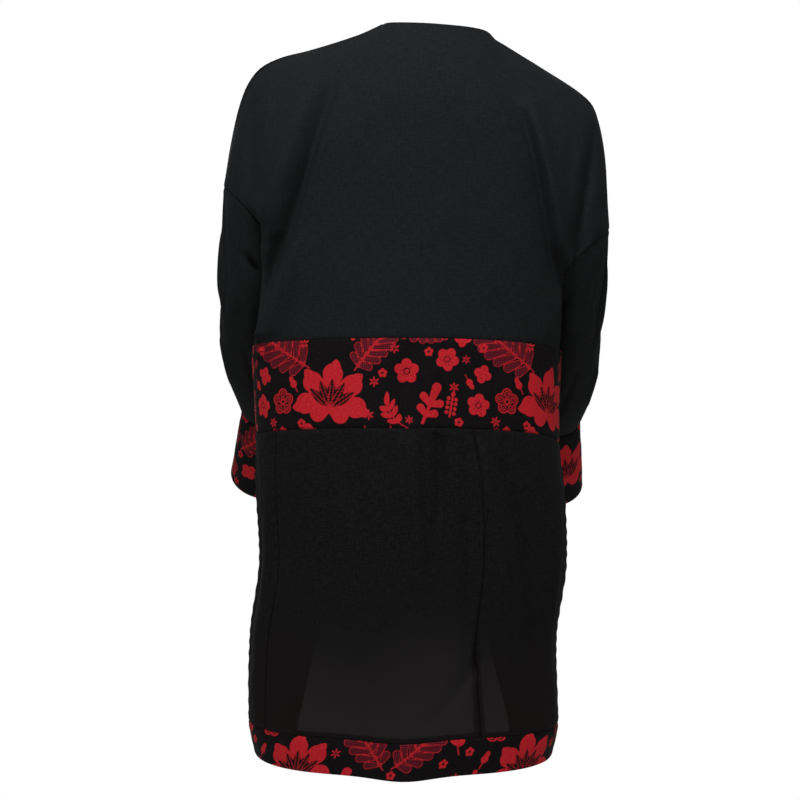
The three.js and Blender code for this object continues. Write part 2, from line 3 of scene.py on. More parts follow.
import bpy
import numpy as np
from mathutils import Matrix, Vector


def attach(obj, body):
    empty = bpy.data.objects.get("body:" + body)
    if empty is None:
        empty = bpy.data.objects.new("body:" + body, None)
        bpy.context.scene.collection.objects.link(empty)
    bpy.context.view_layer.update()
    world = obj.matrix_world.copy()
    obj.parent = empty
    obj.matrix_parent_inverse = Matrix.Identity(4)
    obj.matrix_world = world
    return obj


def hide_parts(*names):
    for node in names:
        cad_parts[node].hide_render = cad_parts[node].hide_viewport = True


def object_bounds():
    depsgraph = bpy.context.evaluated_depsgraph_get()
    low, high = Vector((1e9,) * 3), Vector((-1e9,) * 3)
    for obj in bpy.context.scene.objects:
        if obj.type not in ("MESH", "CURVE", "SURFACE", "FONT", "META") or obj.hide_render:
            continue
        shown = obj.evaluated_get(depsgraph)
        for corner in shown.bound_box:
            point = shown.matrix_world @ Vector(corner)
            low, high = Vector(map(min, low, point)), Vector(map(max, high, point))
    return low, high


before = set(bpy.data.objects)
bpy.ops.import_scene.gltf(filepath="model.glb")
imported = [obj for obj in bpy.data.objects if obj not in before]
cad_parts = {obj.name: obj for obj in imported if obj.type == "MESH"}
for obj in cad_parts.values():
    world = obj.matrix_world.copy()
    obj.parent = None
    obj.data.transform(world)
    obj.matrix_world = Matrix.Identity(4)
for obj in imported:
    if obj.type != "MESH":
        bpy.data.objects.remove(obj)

cad_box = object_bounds()

# Lengths are in millimetres up to the moment a mesh is made. +Z is up, the back faces +Y
# and the wearer's left is +X.

# ==============================
# Bodice: a back and two fronts of matt black polyester crepe, cut with dropped shoulders
# and no collar. They are sewn together at the shoulders and the sides; the neckline and
# the front edges are turned in and stitched down, and the fronts hang open.
# ==============================

# Rings of the form below the waist seam. Columns: distance down the centre back; height at
# the back, at the left side, at the right side and at the front; reach to the left and to
# the right; depth of the back and of the front; squareness of the back and of the front.
RINGS = np.array([
    (0, -335, -347, -356, -343, 209, -162, 108, 104, 2.2, 1.8),
    (102, -437, -449, -461, -447, 204, -160, 113, 106, 2.2, 1.9),
    (170, -505, -514, -523, -513, 204, -167, 119, 109, 2.3, 2.1),
    (262, -597, -599, -605, -598, 200, -169, 121, 112, 2.3, 2.2),
    (355, -690, -685, -690, -687, 211, -157, 119, 114, 2.4, 2.3),
    (461, -796, -785, -789, -791, 212, -158, 118, 116, 2.6, 2.4),
    (505, -838, -819, -822, -832, 205, -151, 114, 112, 2.6, 2.4),
], float)
# Distances down the centre back from the waist seam to the seams below it and to the hem.
WAIST_SEAM, SKIRT_SEAM, HEM_SEAM, HEM = 0, 102, 461, 505
# Half width of the front opening at distances down the rings.
OPENING = np.array([(0, 22), (102, 34), (262, 78), (461, 128), (505, 134)], float)

# Shoulder seams, from the side of the neck to the top of the armhole.
SHOULDERS = {
    "left": [(53, -2, 45), (78, -2, 33.5), (139, 0, 14), (174, 0, 5), (198, 0, -7),
             (213, -1, -25), (224, -2, -52), (235, -4, -100), (243, -4.5, -151.5)],
    "right": [(-84, -2, 27), (-100, -1, 17), (-137, 0, -6), (-186, 0, -38),
              (-200, 0, -52), (-208, -1, -73), (-216, -3, -118), (-219, -4.5, -203)],
}
NECK_BACK = [(-70, 20, 34), (-14, 45, 37), (42, 22, 43)]
NECK_FRONT = np.array((-14.0, -84.0, -62.0))
NECK_GAP = 7
# Fullest line across the back and across each front: its middle and its squareness.
BLADES = (np.array((-4.0, 101.0, -78.0)), 2.5)
CHEST = (np.array((0.0, -92.0, -70.0)), 2.4)
# An armhole is a leaning ellipse: its middle, its reach to the top and its reach to the back.
ARMHOLES = {
    "left": np.array([(204, -2, -193), (39, -2.5, 41.5), (0, 60, 2.5)], float),
    "right": np.array([(-177, -2, -239), (-42, -2.5, 36), (-6, 60, 4)], float),
}
SIDE_SEAMS = {
    "left": [(174, 8, -305), (157, 6, -259)],
    "right": [(-141, 7, -330), (-128, 6, -298)],
}
# Middles of each sleeve from the upper arm to the wrist, with its radius. Beside the arm the
# body keeps clear of it; at the armhole the arm has its own radius.
SLEEVES = {
    "left": [(207, -20, -263, 44.5), (208, -50, -302, 46), (208, -88, -348, 45),
             (199, -121, -387, 43.5), (194, -143, -414, 39)],
    "right": [(-177, -20, -292, 41), (-176, -46, -327, 41), (-173, -88, -370, 43),
              (-165, -122, -404, 43), (-161, -143, -426, 38)],
}
ARMHOLE_RADIUS, ARM_CLEARANCE = 58, 9
SIGN = {"left": 1, "right": -1}

# Folds of the body by the way the cloth faces: the main ones first, then smaller creases,
# which the cloth wall alone shows. Columns: start, bend and end, each as the distance to the
# left, or to the back on a side, and the height; depth, which is negative for a trough;
# width from its middle to where it has faded; lean, if any, from -1 to 1, which makes the
# flank on the left of the way it runs gentle and the other one steep.
FOLDS = {
    "back": [
        ((138, -44), (176, -170), (201, -302), 17, 31),
        ((107, -40), (149, -182), (191, -345), -8, 17, 0.4),
        ((203, -40), (205, -100), (200, -165), -12, 18),
        ((-108, -74), (-134, -186), (-153, -340), -7, 16, 0.5),
        ((-204, -75), (-189, -152), (-168, -268), -11, 14, -0.2),
        ((20, -350), (24, -392), (26, -440), -4, 16),
        ((-5, -345), (-3, -392), (-2, -440), 4, 15),
        ((172, -470), (176, -620), (181, -800), -6, 18),
        ((-47, -470), (-50, -620), (-58, -800), -5, 16),
        ((-66, -480), (-84, -570), (-97, -700), 8, 22),
        ((62, -520), (66, -660), (72, -800), 6, 34),
        ((109, -46), (149, -182), (189, -334), -5, 8, 0.4),
        ((102, -56), (142, -182), (184, -338), 4, 7),
        ((150, -228), (171, -288), (186, -338), 8, 14, -0.4),
        ((170, -222), (177, -274), (193, -340), -13, 10),
        ((186, -222), (186, -276), (198, -345), 30, 12),
        ((196, -96), (195, -150), (198, -230), -5, 10, 0.4),
        ((192, -40), (198, -200), (194, -345), 6, 13, -0.4),
        ((64, -60), (70, -130), (90, -230), -1.2, 12),
        ((-122, -66), (-148, -180), (-164, -318), 18, 15),
        ((-112, -76), (-137, -188), (-153, -330), -8, 6),
        ((-190, -80), (-176, -140), (-156, -262), 3, 10),
        ((-200, -76), (-187, -152), (-167, -268), -5, 7),
        ((-150, -84), (-158, -150), (-156, -230), 2.5, 12),
        ((-60, -150), (-80, -240), (-104, -328), -1.0, 12),
        ((20, 10), (24, -40), (22, -110), -1.2, 12),
        ((-40, 8), (-44, -50), (-38, -120), -1.0, 12),
        ((120, -462), (118, -520), (112, -600), -2.2, 10),
        ((30, -455), (34, -510), (36, -590), 1.8, 11),
        ((-12, -452), (-16, -500), (-14, -570), -1.8, 10),
        ((-120, -480), (-126, -540), (-130, -640), -2.4, 11),
        ((-60, -702), (-36, -742), (-6, -776), -8, 13, 0.4),
        ((-66, -462), (-92, -580), (-96, -700), 7, 14, 0.5),
        ((14, -448), (12, -520), (2, -610), 8, 15, 0.3),
        ((-13, -448), (-15, -490), (-12, -545), -8, 9),
        ((-86, -480), (-108, -580), (-124, -740), -8, 10),
        ((88, -452), (74, -540), (60, -640), -5, 18),
        ((196, -560), (188, -660), (190, -770), 2.2, 9),
        ((130, -640), (136, -700), (146, -780), 2.0, 12),
        ((0, -650), (4, -720), (8, -790), -2.0, 15),
        ((-128, -660), (-134, -720), (-132, -785), 2.0, 10),
    ],
    "front": [
        ((110, -110), (122, -220), (132, -330), -8, 22),
        ((-90, -130), (-92, -230), (-96, -335), -8, 20),
        ((120, -480), (152, -640), (172, -800), -7, 26),
        ((-70, -500), (-98, -650), (-126, -800), -7, 24),
        ((60, -90), (66, -180), (64, -300), 2.6, 12),
        ((150, -130), (160, -220), (158, -320), 2.4, 10),
        ((-60, -120), (-58, -220), (-54, -320), 2.4, 11),
        ((90, -240), (110, -280), (150, -300), -2.2, 8),
        ((150, -470), (168, -560), (176, -680), 2.4, 11),
        ((90, -460), (110, -560), (140, -700), 2.6, 12),
        ((-50, -470), (-72, -580), (-104, -720), 2.4, 12),
        ((-110, -480), (-126, -580), (-140, -700), -2.4, 11),
    ],
    "left": [
        ((48, -200), (52, -258), (46, -322), 17, 32),
        ((20, -470), (26, -600), (22, -770), -4, 14),
        ((-30, -480), (-36, -600), (-40, -760), 4, 16),
        ((60, -520), (56, -640), (60, -780), 3, 13),
    ],
    "right": [
        ((46, -232), (50, -286), (42, -338), 14, 30),
        ((24, -480), (20, -620), (26, -770), -4, 14),
        ((-34, -480), (-30, -620), (-38, -760), 3.5, 16),
        ((56, -540), (60, -640), (56, -780), 3, 13),
    ],
}


def smooth(value, start, end):
    """0 before start, 1 after end, and an S curve between them."""
    t = np.clip((value - start) / (end - start), 0, 1)
    return t * t * (3 - 2 * t)


def bell(value, width):
    """1 at 0, falling off both ways as exp(-(value / width) squared)."""
    return np.exp(-((value / width) ** 2))


def mix(low, high, share):
    """The value this share of the way from low to high."""
    return low + (high - low) * share


def between(table, at):
    """Each column of a table at the keys `at`, on a cubic through its rows whose slope at a
    row is that of the line between its two neighbours."""
    keys = table[:, 0]
    index = np.clip(np.searchsorted(keys[1:], at), 0, len(keys) - 2)
    low, high = table[index], table[index + 1]
    before, after = table[np.maximum(index - 1, 0)], table[np.minimum(index + 2, len(keys) - 1)]
    span = (high - low)[..., :1]
    t = (np.asarray(at, float)[..., None] - low[..., :1]) / span
    start = (high - before) / (high - before)[..., :1] * span
    end = (after - low) / (after - low)[..., :1] * span
    return (low * (1 + t * t * (2 * t - 3)) + high * t * t * (3 - 2 * t)
            + start * t * (1 - t) ** 2 - end * t * t * (1 - t))


def ring_point(angle, down):
    """A place on the form below the waist; angle 0 is the centre back, 90 the left side.

    In plan it is a superellipse: half the width times the sine, and the depth times the
    cosine, each raised to 2 over the squareness. Its height runs from the side's to the
    back's or the front's with the cosine raised to 0.7; toward the hem a bell across the
    centre back, 0.24 of the half width wide, sags by 4 mm while the rest of the back rises
    by 3."""
    angle, down = np.broadcast_arrays(np.radians(angle), np.asarray(down, float))
    ring = np.moveaxis(between(RINGS, down), -1, 0)
    z_back, z_left, z_right, z_front, left, right, back, front = ring[1:9]
    square_back, square_front = ring[9:]
    sine, cosine = np.sin(angle), np.cos(angle)
    at_back = cosine > 0
    power = 2 / np.where(at_back, square_back, square_front)
    across = np.sign(sine) * np.abs(sine) ** power
    behind = np.sign(cosine) * np.abs(cosine) ** power
    sag = (3 - 7 * bell(across, 0.24)) * smooth(down, 330, HEM) * at_back
    z = mix(np.where(sine > 0, z_left, z_right), np.where(at_back, z_back, z_front) + sag,
            np.abs(cosine) ** 0.7)
    return np.stack([(left + right) / 2 + (left - right) / 2 * across,
                     np.where(at_back, back, front) * behind, z], -1)


def edge_angle(down):
    """The angle at which a ring reaches the front edge, from the opening's half width."""
    ring = np.moveaxis(between(RINGS, down), -1, 0)
    left, right, square_front = ring[5], ring[6], ring[10]
    reach = between(OPENING, down)[..., 1] / ((left - right) / 2)
    return 180 - np.degrees(np.arcsin(reach ** (square_front / 2)))


def fold_lift(u, v, start, bend, end, depth, width, lean=0):
    """How far a fold lifts the cloth at (u, v).

    It follows a quadratic curve through its three places. Across it the lift is a bell,
    exp(-2 (distance / width) squared), whose width is 1 + lean times as much on the left
    and 1 - lean times on the right. Along it the lift swells and fades as the sine of an
    angle that runs from 0.12 to 0.92 of a half turn, raised to 0.6."""
    start, bend, end = (np.array(place, float) for place in (start, bend, end))
    t = np.linspace(0, 1, 11)[:, None]
    control = 2 * bend - (start + end) / 2
    path = (1 - t) ** 2 * start + 2 * t * (1 - t) * control + t * t * end
    nearest, share, reach = (np.full(np.shape(u), value) for value in (np.inf, 0.0, width))
    for index, (here, there) in enumerate(zip(path[:-1], path[1:])):
        step = there - here
        along = ((u - here[0]) * step[0] + (v - here[1]) * step[1]) / (step @ step)
        along = np.clip(along, 0, 1)
        distance = np.hypot(u - here[0] - along * step[0], v - here[1] - along * step[1])
        share = np.where(distance < nearest, (index + along) / 10, share)
        on_left = np.sign(step[0] * (v - here[1]) - step[1] * (u - here[0]))
        reach = np.where(distance < nearest, width * (1 + lean * on_left), reach)
        nearest = np.minimum(nearest, distance)
    return (depth * np.sin(np.pi * (0.12 + 0.8 * share)) ** 0.6
            * np.exp(-2 * (nearest / reach) ** 2))


def fold_body(points):
    """Pushes the body's cloth straight out the way that each of its folds faces.

    A fold of the back or a front grows in from 12 to 45 mm behind or before the shoulder
    line, one of the left side from 125 to 165 mm out and one of the right from 95 to 130."""
    x, y, z = np.moveaxis(points, -1, 0)
    lifts = {way: sum(fold_lift(x if way in ("back", "front") else y, z, *row) for row in rows)
             for way, rows in FOLDS.items()}
    away = smooth(np.abs(y), 12, 45)
    out_y = np.where(y > 0, lifts["back"], -lifts["front"]) * away
    out_x = lifts["left"] * smooth(x, 125, 165) - lifts["right"] * smooth(-x, 95, 130)
    return points + np.stack([out_x, out_y, np.zeros_like(z)], -1)


def clear_of_sleeve(points):
    """Pushes cloth beside an arm out of a tube round the arm, wider than the sleeve by the
    clearance."""
    moved = points.copy()
    for side, sign in SIGN.items():
        rows = np.array([(*ARMHOLES[side][0], ARMHOLE_RADIUS), *SLEEVES[side]], float)
        gap, above = np.full(points.shape[:-1], np.inf), None
        push = np.zeros_like(points)
        for low, high in zip(rows[:-1], rows[1:]):
            step = high[:3] - low[:3]
            share = (points - low[:3]) @ step / (step @ step)
            above = share < 0 if above is None else above
            t = np.clip(share, 0, 1)[..., None]
            off = points - low[:3] - t * step
            reach = np.linalg.norm(off, axis=-1)
            keep = mix(low[3], high[3], t[..., 0]) + ARM_CLEARANCE
            nearer = reach - keep < gap
            push = np.where(nearer[..., None], off * (keep / reach - 1)[..., None], push)
            gap = np.minimum(gap, reach - keep)
        inside = (gap < 0) & ~above & (sign * points[..., 0] > 0)
        moved = np.where(inside[..., None], points + push, moved)
    return moved


def body_point(angle, down):
    """The finished form of the body at and below the waist seam."""
    return clear_of_sleeve(fold_body(ring_point(angle, down)))


def curve(points, at):
    """A smooth line through points, at shares of its spans: a cubic for each span, whose
    slopes weigh the chords beside it by the square roots of their lengths."""
    points = np.asarray(points, float)
    points = np.vstack([2 * points[0] - points[1], points, 2 * points[-1] - points[-2]])
    spans = len(points) - 3
    place = np.asarray(at, float) * spans
    index = np.clip(np.floor(place).astype(int), 0, spans - 1)
    t = (place - index)[..., None]
    a, b, c, d = (points[index + step] for step in range(4))
    ab, bc, cd = (np.sqrt(np.linalg.norm(q - p, axis=-1, keepdims=True))
                  for p, q in ((a, b), (b, c), (c, d)))
    start = ((b - a) / ab - (c - a) / (ab + bc) + (c - b) / bc) * bc
    end = ((c - b) / bc - (d - b) / (bc + cd) + (d - c) / cd) * bc
    return (b + start * t + (3 * c - 3 * b - 2 * start - end) * t**2
            + (2 * b - 2 * c + start + end) * t**3)


def lengths(grid, axis=0):
    """Length of the cloth from the first row or column to each place, along that axis."""
    steps = np.linalg.norm(np.diff(grid, axis=axis), axis=-1)
    zero = np.zeros_like(np.take(steps, [0], axis=axis))
    return np.cumsum(np.concatenate([zero, steps], axis=axis), axis=axis)


def evenly(points, at):
    """The same smooth line, at shares of its length."""
    fine = np.linspace(0, 1, 201)
    length = lengths(curve(points, fine))
    return curve(points, np.interp(np.asarray(at) * length[-1], length, fine))


def armhole(side, turn):
    """The armhole seam: its middle, plus its top by the cosine and its back by the sine."""
    middle, top, back = ARMHOLES[side]
    turn = np.asarray(turn, float)[..., None]
    return middle + top * np.cos(turn) + back * np.sin(turn)


# Heights on a panel: 0 is the waist seam, 1 the shoulder seam. The armhole starts at
# UNDERARM and is widest at FULLEST.
UNDERARM, FULLEST = 0.5, 0.75


def outer_edge(side, facing, height):
    """Up the side seam, then round the back (facing 1) or front (-1) half of the armhole."""
    seam = [body_point(SIGN[side] * 90, WAIST_SEAM), *SIDE_SEAMS[side], armhole(side, math.pi)]
    low = curve(seam, np.clip(height / UNDERARM, 0, 1))
    turn = np.pi * np.clip(1 - (height - UNDERARM) / (1 - UNDERARM), 0, 1)
    return np.where((height <= UNDERARM)[..., None], low, armhole(side, facing * turn))


def drawn_panel(waist, full, top, height, roll):
    """Straight from the waist row to the fullest row, then over to the top row along the
    part of an ellipse that ends at the angle roll."""
    low = mix(waist, full, (height / FULLEST)[..., None])
    end = np.radians(roll)
    turn = end * np.clip((height - FULLEST) / (1 - FULLEST), 0, 1)
    rise = np.sin(turn) / np.sin(end)
    depth = (np.cos(turn) - np.cos(end)) / (1 - np.cos(end))
    share = np.stack([rise, 1 - depth, rise], -1)
    return np.where((height <= FULLEST)[..., None], low, mix(full, top, share))


def full_row(middle, end, reach, square):
    """From the middle to the armhole's widest place along a quarter of a superellipse."""
    turn = reach * np.pi / 2
    power = 2 / square
    return np.stack([mix(middle[0], end[..., 0], np.sin(turn) ** power),
                     mix(end[..., 1], middle[1], np.abs(np.cos(turn)) ** power),
                     mix(middle[2], end[..., 2], smooth(reach, 0, 1))], -1)


def back_point(across, height):
    """The back, from across -1 at the right armhole to 1 at the left one. The neckline takes
    the middle third of its top row and a shoulder seam each of the others."""
    reach = np.abs(across)
    left = (across > 0)[..., None]
    pick = lambda of: np.where(left, of("left"), of("right"))
    full = full_row(BLADES[0], pick(lambda side: armhole(side, np.pi / 2)), reach, BLADES[1])
    neck = curve([SHOULDERS["right"][0], *NECK_BACK, SHOULDERS["left"][0]],
                 np.clip(across * 1.5 + 0.5, 0, 1))
    seam = pick(lambda side: evenly(SHOULDERS[side], np.clip(reach * 1.5 - 0.5, 0, 1)))
    top = np.where((reach <= 1 / 3)[..., None], neck, seam)
    roll = mix(55, 90, smooth(reach, 0.2, 0.6))
    return drawn_panel(body_point(across * 90, WAIST_SEAM), full, top, height, roll)


def front_angle(side, across, down):
    """From the side seam (across 0) to the front edge (1)."""
    return SIGN[side] * mix(90, edge_angle(down), across)


def inner_edge(side, height):
    """Up the front edge to the base of the neck, then round the neckline."""
    waist = body_point(front_angle(side, 1, WAIST_SEAM), WAIST_SEAM)
    base = NECK_FRONT + (SIGN[side] * NECK_GAP, 0, 0)
    turn = (np.pi / 2 * np.clip((height - FULLEST) / (1 - FULLEST), 0, 1))[..., None]
    share = np.concatenate(
        [np.sin(turn), 1 - np.abs(np.cos(turn)) ** 0.8, 1 - np.cos(turn)], -1)
    return np.where((height <= FULLEST)[..., None],
                    mix(waist, base, (height / FULLEST)[..., None]),
                    mix(base, np.array(SHOULDERS[side][0]), share))


def front_point(side, across, height):
    """A front, from the side (across 0) to its front edge (1)."""
    reach = 1 - across
    middle = CHEST[0] + (NECK_FRONT[0] + SIGN[side] * NECK_GAP, 0, 0)
    full = full_row(middle, armhole(side, -np.pi / 2), reach, CHEST[1])
    top = evenly(SHOULDERS[side], reach)
    waist = body_point(front_angle(side, across, WAIST_SEAM), WAIST_SEAM)
    return drawn_panel(waist, full, top, height, roll=90)


def relax(grid, rounds, closed=False):
    """Evens out the inside of a grid: each round moves a place halfway to the mean of its
    four neighbours. Its edges stay; a closed grid goes on past its last column."""
    for _ in range(rounds):
        wide = np.concatenate([grid[:, -1:], grid, grid[:, :1]], 1) if closed else grid
        mean = (wide[:-2, 1:-1] + wide[2:, 1:-1] + wide[1:-1, :-2] + wide[1:-1, 2:]) / 4
        wide[1:-1, 1:-1] = (wide[1:-1, 1:-1] + mean) / 2
        grid = wide[:, 1:-1] if closed else wide
    return grid


def pull_to_seams(grid, across, first, last, ease_first, ease_last):
    """Moves the outer columns onto their seams; the pull fades over a share of the width."""
    share = (across - across[0]) / (across[-1] - across[0])
    near_first = np.clip(1 - share / ease_first, 0, None) ** 1.3
    near_last = np.clip(1 - (1 - share) / ease_last, 0, None) ** 1.3
    return (grid + (first - grid[:, 0])[:, None] * near_first[None, :, None]
            + (last - grid[:, -1])[:, None] * near_last[None, :, None])


def even_shares(line, count):
    """Shares of a line's own parameter that cut it into equal lengths."""
    fine = np.linspace(0, 1, len(line))
    length = lengths(line)
    return np.interp(np.linspace(0, length[-1], count + 1), length, fine)


def settle(grid, sides):
    """Folds a bodice panel and clears it of the sleeve. Both fade over 15 mm toward its top,
    toward the waist seam and, where sides says so, toward its first and its last column."""
    down, along, fade = lengths(grid, 0), lengths(grid, 1), 15
    free = smooth(down, 0, fade)
    for is_seam, off in zip(sides, (along, along[:, -1:] - along)):
        if is_seam:
            free = free * smooth(off, 0, fade)
    free = (free * smooth(down[-1] - down, 0, fade))[..., None]
    for change in (fold_body, clear_of_sleeve):
        grid = mix(grid, change(grid), free)
    return relax(grid, rounds=2)


# Places on a line that is to be cut into equal lengths, and the rows of a bodice panel.
FINE = 801
HEIGHTS = np.linspace(1, 0, 127)


def bodice_grid(point, start, columns, first, last, ease, sides):
    """A bodice panel with its folds: point(across, height) gives its form, from across start
    to 1, in columns of equal width at its fullest; first and last are its outer columns."""
    line = point(np.linspace(start, 1, FINE), np.full(FINE, FULLEST))
    across = mix(start, 1, even_shares(line, columns))
    grid = point(*np.broadcast_arrays(across[None], HEIGHTS[:, None]))
    return settle(relax(pull_to_seams(grid, across, first, last, *ease), rounds=75), sides)


def back_grid():
    """The whole back, from the right armhole to the left one."""
    return bodice_grid(back_point, start=-1, columns=156, ease=(0.22, 0.22),
                       first=outer_edge("right", 1, HEIGHTS),
                       last=outer_edge("left", 1, HEIGHTS), sides=(True, True))


def front_grid(side):
    """A front, from its side to its front edge on the left and the other way round on the
    right, so that the rows of both run toward the wearer's right."""
    grid = bodice_grid(lambda *place: front_point(side, *place), start=0, columns=84,
                       ease=(0.45, 0.6), first=outer_edge(side, -1, HEIGHTS),
                       last=inner_edge(side, HEIGHTS), sides=(True, False))
    return grid if side == "left" else grid[:, ::-1]


def split_edges(grid, axes=(0, 1)):
    """Adds two rows and two columns beside each edge, a fifth and a half of the way into
    the outer cells, so that a turned edge and a seam's groove are crisp."""
    for axis in axes:
        last = grid.shape[axis] - 1
        at = np.sort(np.concatenate([np.arange(last + 1), [0.2, 0.5, last - 0.5, last - 0.2]]))
        low = np.minimum(at.astype(int), last - 1)
        share = (at - low).reshape((-1, 1, 1) if axis == 0 else (1, -1, 1))
        grid = mix(np.take(grid, low, axis), np.take(grid, low + 1, axis), share)
    return grid


def facing(grid, closed):
    """Outward direction of the cloth: along its rows crossed with down its columns."""
    across = np.roll(grid, -1, 1) - np.roll(grid, 1, 1) if closed else np.gradient(grid, axis=1)
    normal = np.cross(across, np.gradient(grid, axis=0))
    return normal / np.linalg.norm(normal, axis=-1, keepdims=True)


def waves(u, v, seed, height):
    """Slight unevenness of hanging cloth: six long waves that cross at different angles."""
    chance = np.random.default_rng(seed)
    total = 0
    for length in (34, 47, 58, 71, 90, 116):
        way, phase = chance.uniform(0, np.pi), chance.uniform(0, 2 * np.pi)
        total = total + np.sin(2 * np.pi * (u * np.cos(way) + v * np.sin(way)) / length + phase)
    return height * total / 6


def shell(name, outer, inner, cloth, fields, materials):
    """A closed wall of cloth from its outer and inner grids, with quads round its edges.

    The cloth places and the fields may have one column more than the grids: then the wall
    is a tube, and the pattern has a seam where the tube closes. The inner faces take the
    last of the materials."""
    rows, columns = outer.shape[:2]
    wide = cloth.shape[1]
    r, c = (part.ravel() for part in np.mgrid[0:rows - 1, 0:wide - 1])
    top, side = np.arange(wide - 1), np.arange(rows - 1)

    def faces(layers, down, along):
        return np.stack([np.stack(np.broadcast_arrays(*corner), -1)
                         for corner in zip(layers, down, along)], 1)

    # Outer face, top edge and bottom edge, then the first and the last edge, then inner face.
    groups = [
        faces((0, 0, 0, 0), (r, r, r + 1, r + 1), (c, c + 1, c + 1, c)),
        faces((0, 0, 1, 1), (0, 0, 0, 0), (top + 1, top, top, top + 1)),
        faces((0, 0, 1, 1), (rows - 1,) * 4, (top, top + 1, top + 1, top)),
    ]
    if wide == columns:
        end = columns - 1
        groups.append(faces((0, 0, 1, 1), (side, side + 1, side + 1, side), (0, 0, 0, 0)))
        groups.append(faces((0, 0, 1, 1), (side + 1, side, side, side + 1), (end,) * 4))
    groups.append(faces((1, 1, 1, 1), (r, r + 1, r + 1, r), (c, c, c + 1, c + 1)))
    corners = np.concatenate(groups)
    layer, down, along = np.moveaxis(corners, -1, 0)
    vertex = layer * rows * columns + down * columns + along % columns
    place = (down * wide + along).ravel()

    mesh = bpy.data.meshes.new(name)
    mesh.vertices.add(2 * rows * columns)
    mesh.vertices.foreach_set("co", np.stack([outer, inner]).ravel() / 1000)
    mesh.loops.add(vertex.size)
    mesh.loops.foreach_set("vertex_index", vertex.ravel())
    mesh.polygons.add(len(vertex))
    mesh.polygons.foreach_set("loop_start", np.arange(0, vertex.size, 4))
    mesh.update(calc_edges=True)
    mesh.polygons.foreach_set("use_smooth", np.ones(len(vertex), bool))
    mesh.uv_layers.new(name="cloth").data.foreach_set(
        "uv", cloth.reshape(-1, 2)[place].ravel())
    for field, values in fields.items():
        mesh.attributes.new(field, "FLOAT", "CORNER").data.foreach_set(
            "value", values.ravel()[place].astype(np.float32))
    for material in materials:
        mesh.materials.append(material)
    inside = np.where(layer.min(axis=1) == 1, len(materials) - 1, 0)
    mesh.polygons.foreach_set("material_index", inside.astype(np.int32))
    mesh.set_sharp_from_angle(angle=math.radians(55))
    mesh.validate()
    piece = bpy.data.objects.new(name, mesh)
    bpy.context.collection.objects.link(piece)
    return piece


# Distances from an edge: how far waves and creases stay away, the depth of a seam's
# allowance and of a turned hem; and how far a seam's inner face reaches past the seam.
CALM, ALLOWANCE, TURN_UP, SEAM_LIP = 12, 6, 8, 3


def sew(name, node_name, grid, edges, wall, materials, slot, flat, area, held,
        creases=(), uneven=0.6, pucker=0.35, pinch=0.6, seed=1, start=(0, 0), grain=(0, 0),
        closed=False, fields=None):
    """Finishes a panel of cloth and hands it to the frame.

    edges names what each edge is. A seam dips into a groove that is deepest along a narrow
    line in its bed; that line is darkened with painted shade. A seam has an allowance behind
    it, and beside it are puckers, a sine along the seam that repeats about every 16 mm and
    sways. A hem is turned in, stitched and rounded off.
    creases are rows for fold_lift on the cloth's own places. uneven is the height of the
    waves, pucker that of the puckers and pinch the depth of the groove. Places on the cloth
    are measured from the row and the column named by grain, and are start there. fields
    gives more values for the material."""
    full = np.concatenate([grid, grid[:, :1]], 1) if closed else grid
    down, along = lengths(full, 0), lengths(full, 1)
    middle = full.shape[0] // 2
    cloth = np.stack([along - along[:, grain[1]][:, None] + start[0],
                      down - down[grain[0]] + start[1]], -1)
    if closed:
        share = np.linspace(0, 1, full.shape[1])[None]
        cloth[..., 0] = start[0] + share * along[middle, -1] + 0 * down
    distance = {"top": (down, along), "bottom": (down[-1:] - down, along),
                "first": (along, down), "last": (along[:, -1:] - along, down)}
    lift, double, calm = np.zeros(down.shape), np.zeros(down.shape), np.ones(down.shape)
    thick, seam_shade = np.full(down.shape, float(wall)), np.zeros(down.shape)
    for edge, kind in edges.items():
        off, run = distance[edge]
        calm = calm * (1 - bell(off, CALM))
        if kind == "seam":
            ripple = np.sin(run / 2.6 + 1.8 * np.sin(run / 19)) * bell(off, 8)
            lift += pucker * ripple * (1 - bell(off, 2.5))
            lift -= pinch * (bell(off, 3) + bell(off, 0.8))
            # Painted shade: a narrow line along the bed of the groove, which darkens the colour
            # there.
            seam_shade = np.maximum(seam_shade, 0.6 * bell(off, 0.9))
            layer = 1 - smooth(off, ALLOWANCE - 0.5, ALLOWANCE + 0.5)
        else:
            lift -= 0.35 * bell(off - TURN_UP, 1.5)
            lift -= 0.3 * wall * bell(off, 0.7)
            layer = 1 - smooth(off, TURN_UP, TURN_UP + 1.5)
            thick -= 0.3 * wall * bell(off, 0.7)
        thick += 0.5 * layer * (double < 0.5)
        double = np.maximum(double, layer)
    lift += calm * waves(cloth[..., 0], cloth[..., 1], seed, uneven)
    for row in creases:
        for lap in (-1, 0, 1) if closed else (0,):
            turn = lap * (along[middle, -1] if closed else 0)
            lift += calm * fold_lift(cloth[..., 0] + turn, cloth[..., 1], *row)
    columns = grid.shape[1]
    normal = facing(grid, closed)
    outer = grid + normal * lift[:, :columns, None]
    inner = outer - facing(outer, closed) * thick[:, :columns, None]
    for edge, kind in edges.items():
        if kind == "seam":
            line = {"top": np.s_[0], "bottom": np.s_[-1],
                    "first": np.s_[:, 0], "last": np.s_[:, -1]}[edge]
            beside = {"top": np.s_[1], "bottom": np.s_[-2],
                      "first": np.s_[:, 1], "last": np.s_[:, -2]}[edge]
            way = grid[line] - grid[beside]
            inner[line] += SEAM_LIP * way / np.linalg.norm(way, axis=-1, keepdims=True)
    data = {"double": double, "seam_shade": seam_shade, **(fields(cloth) if fields else {})}
    piece = shell(name, outer, inner, cloth, data, materials)
    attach(piece, "root")
    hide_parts(node_name)


def linear(code):
    """An sRGB hex colour as the linear values that Blender wants."""
    parts = [int(code[at:at + 2], 16) / 255 for at in (1, 3, 5)]
    return [p / 12.92 if p <= 0.04045 else ((p + 0.055) / 1.055) ** 2.4 for p in parts] + [1]


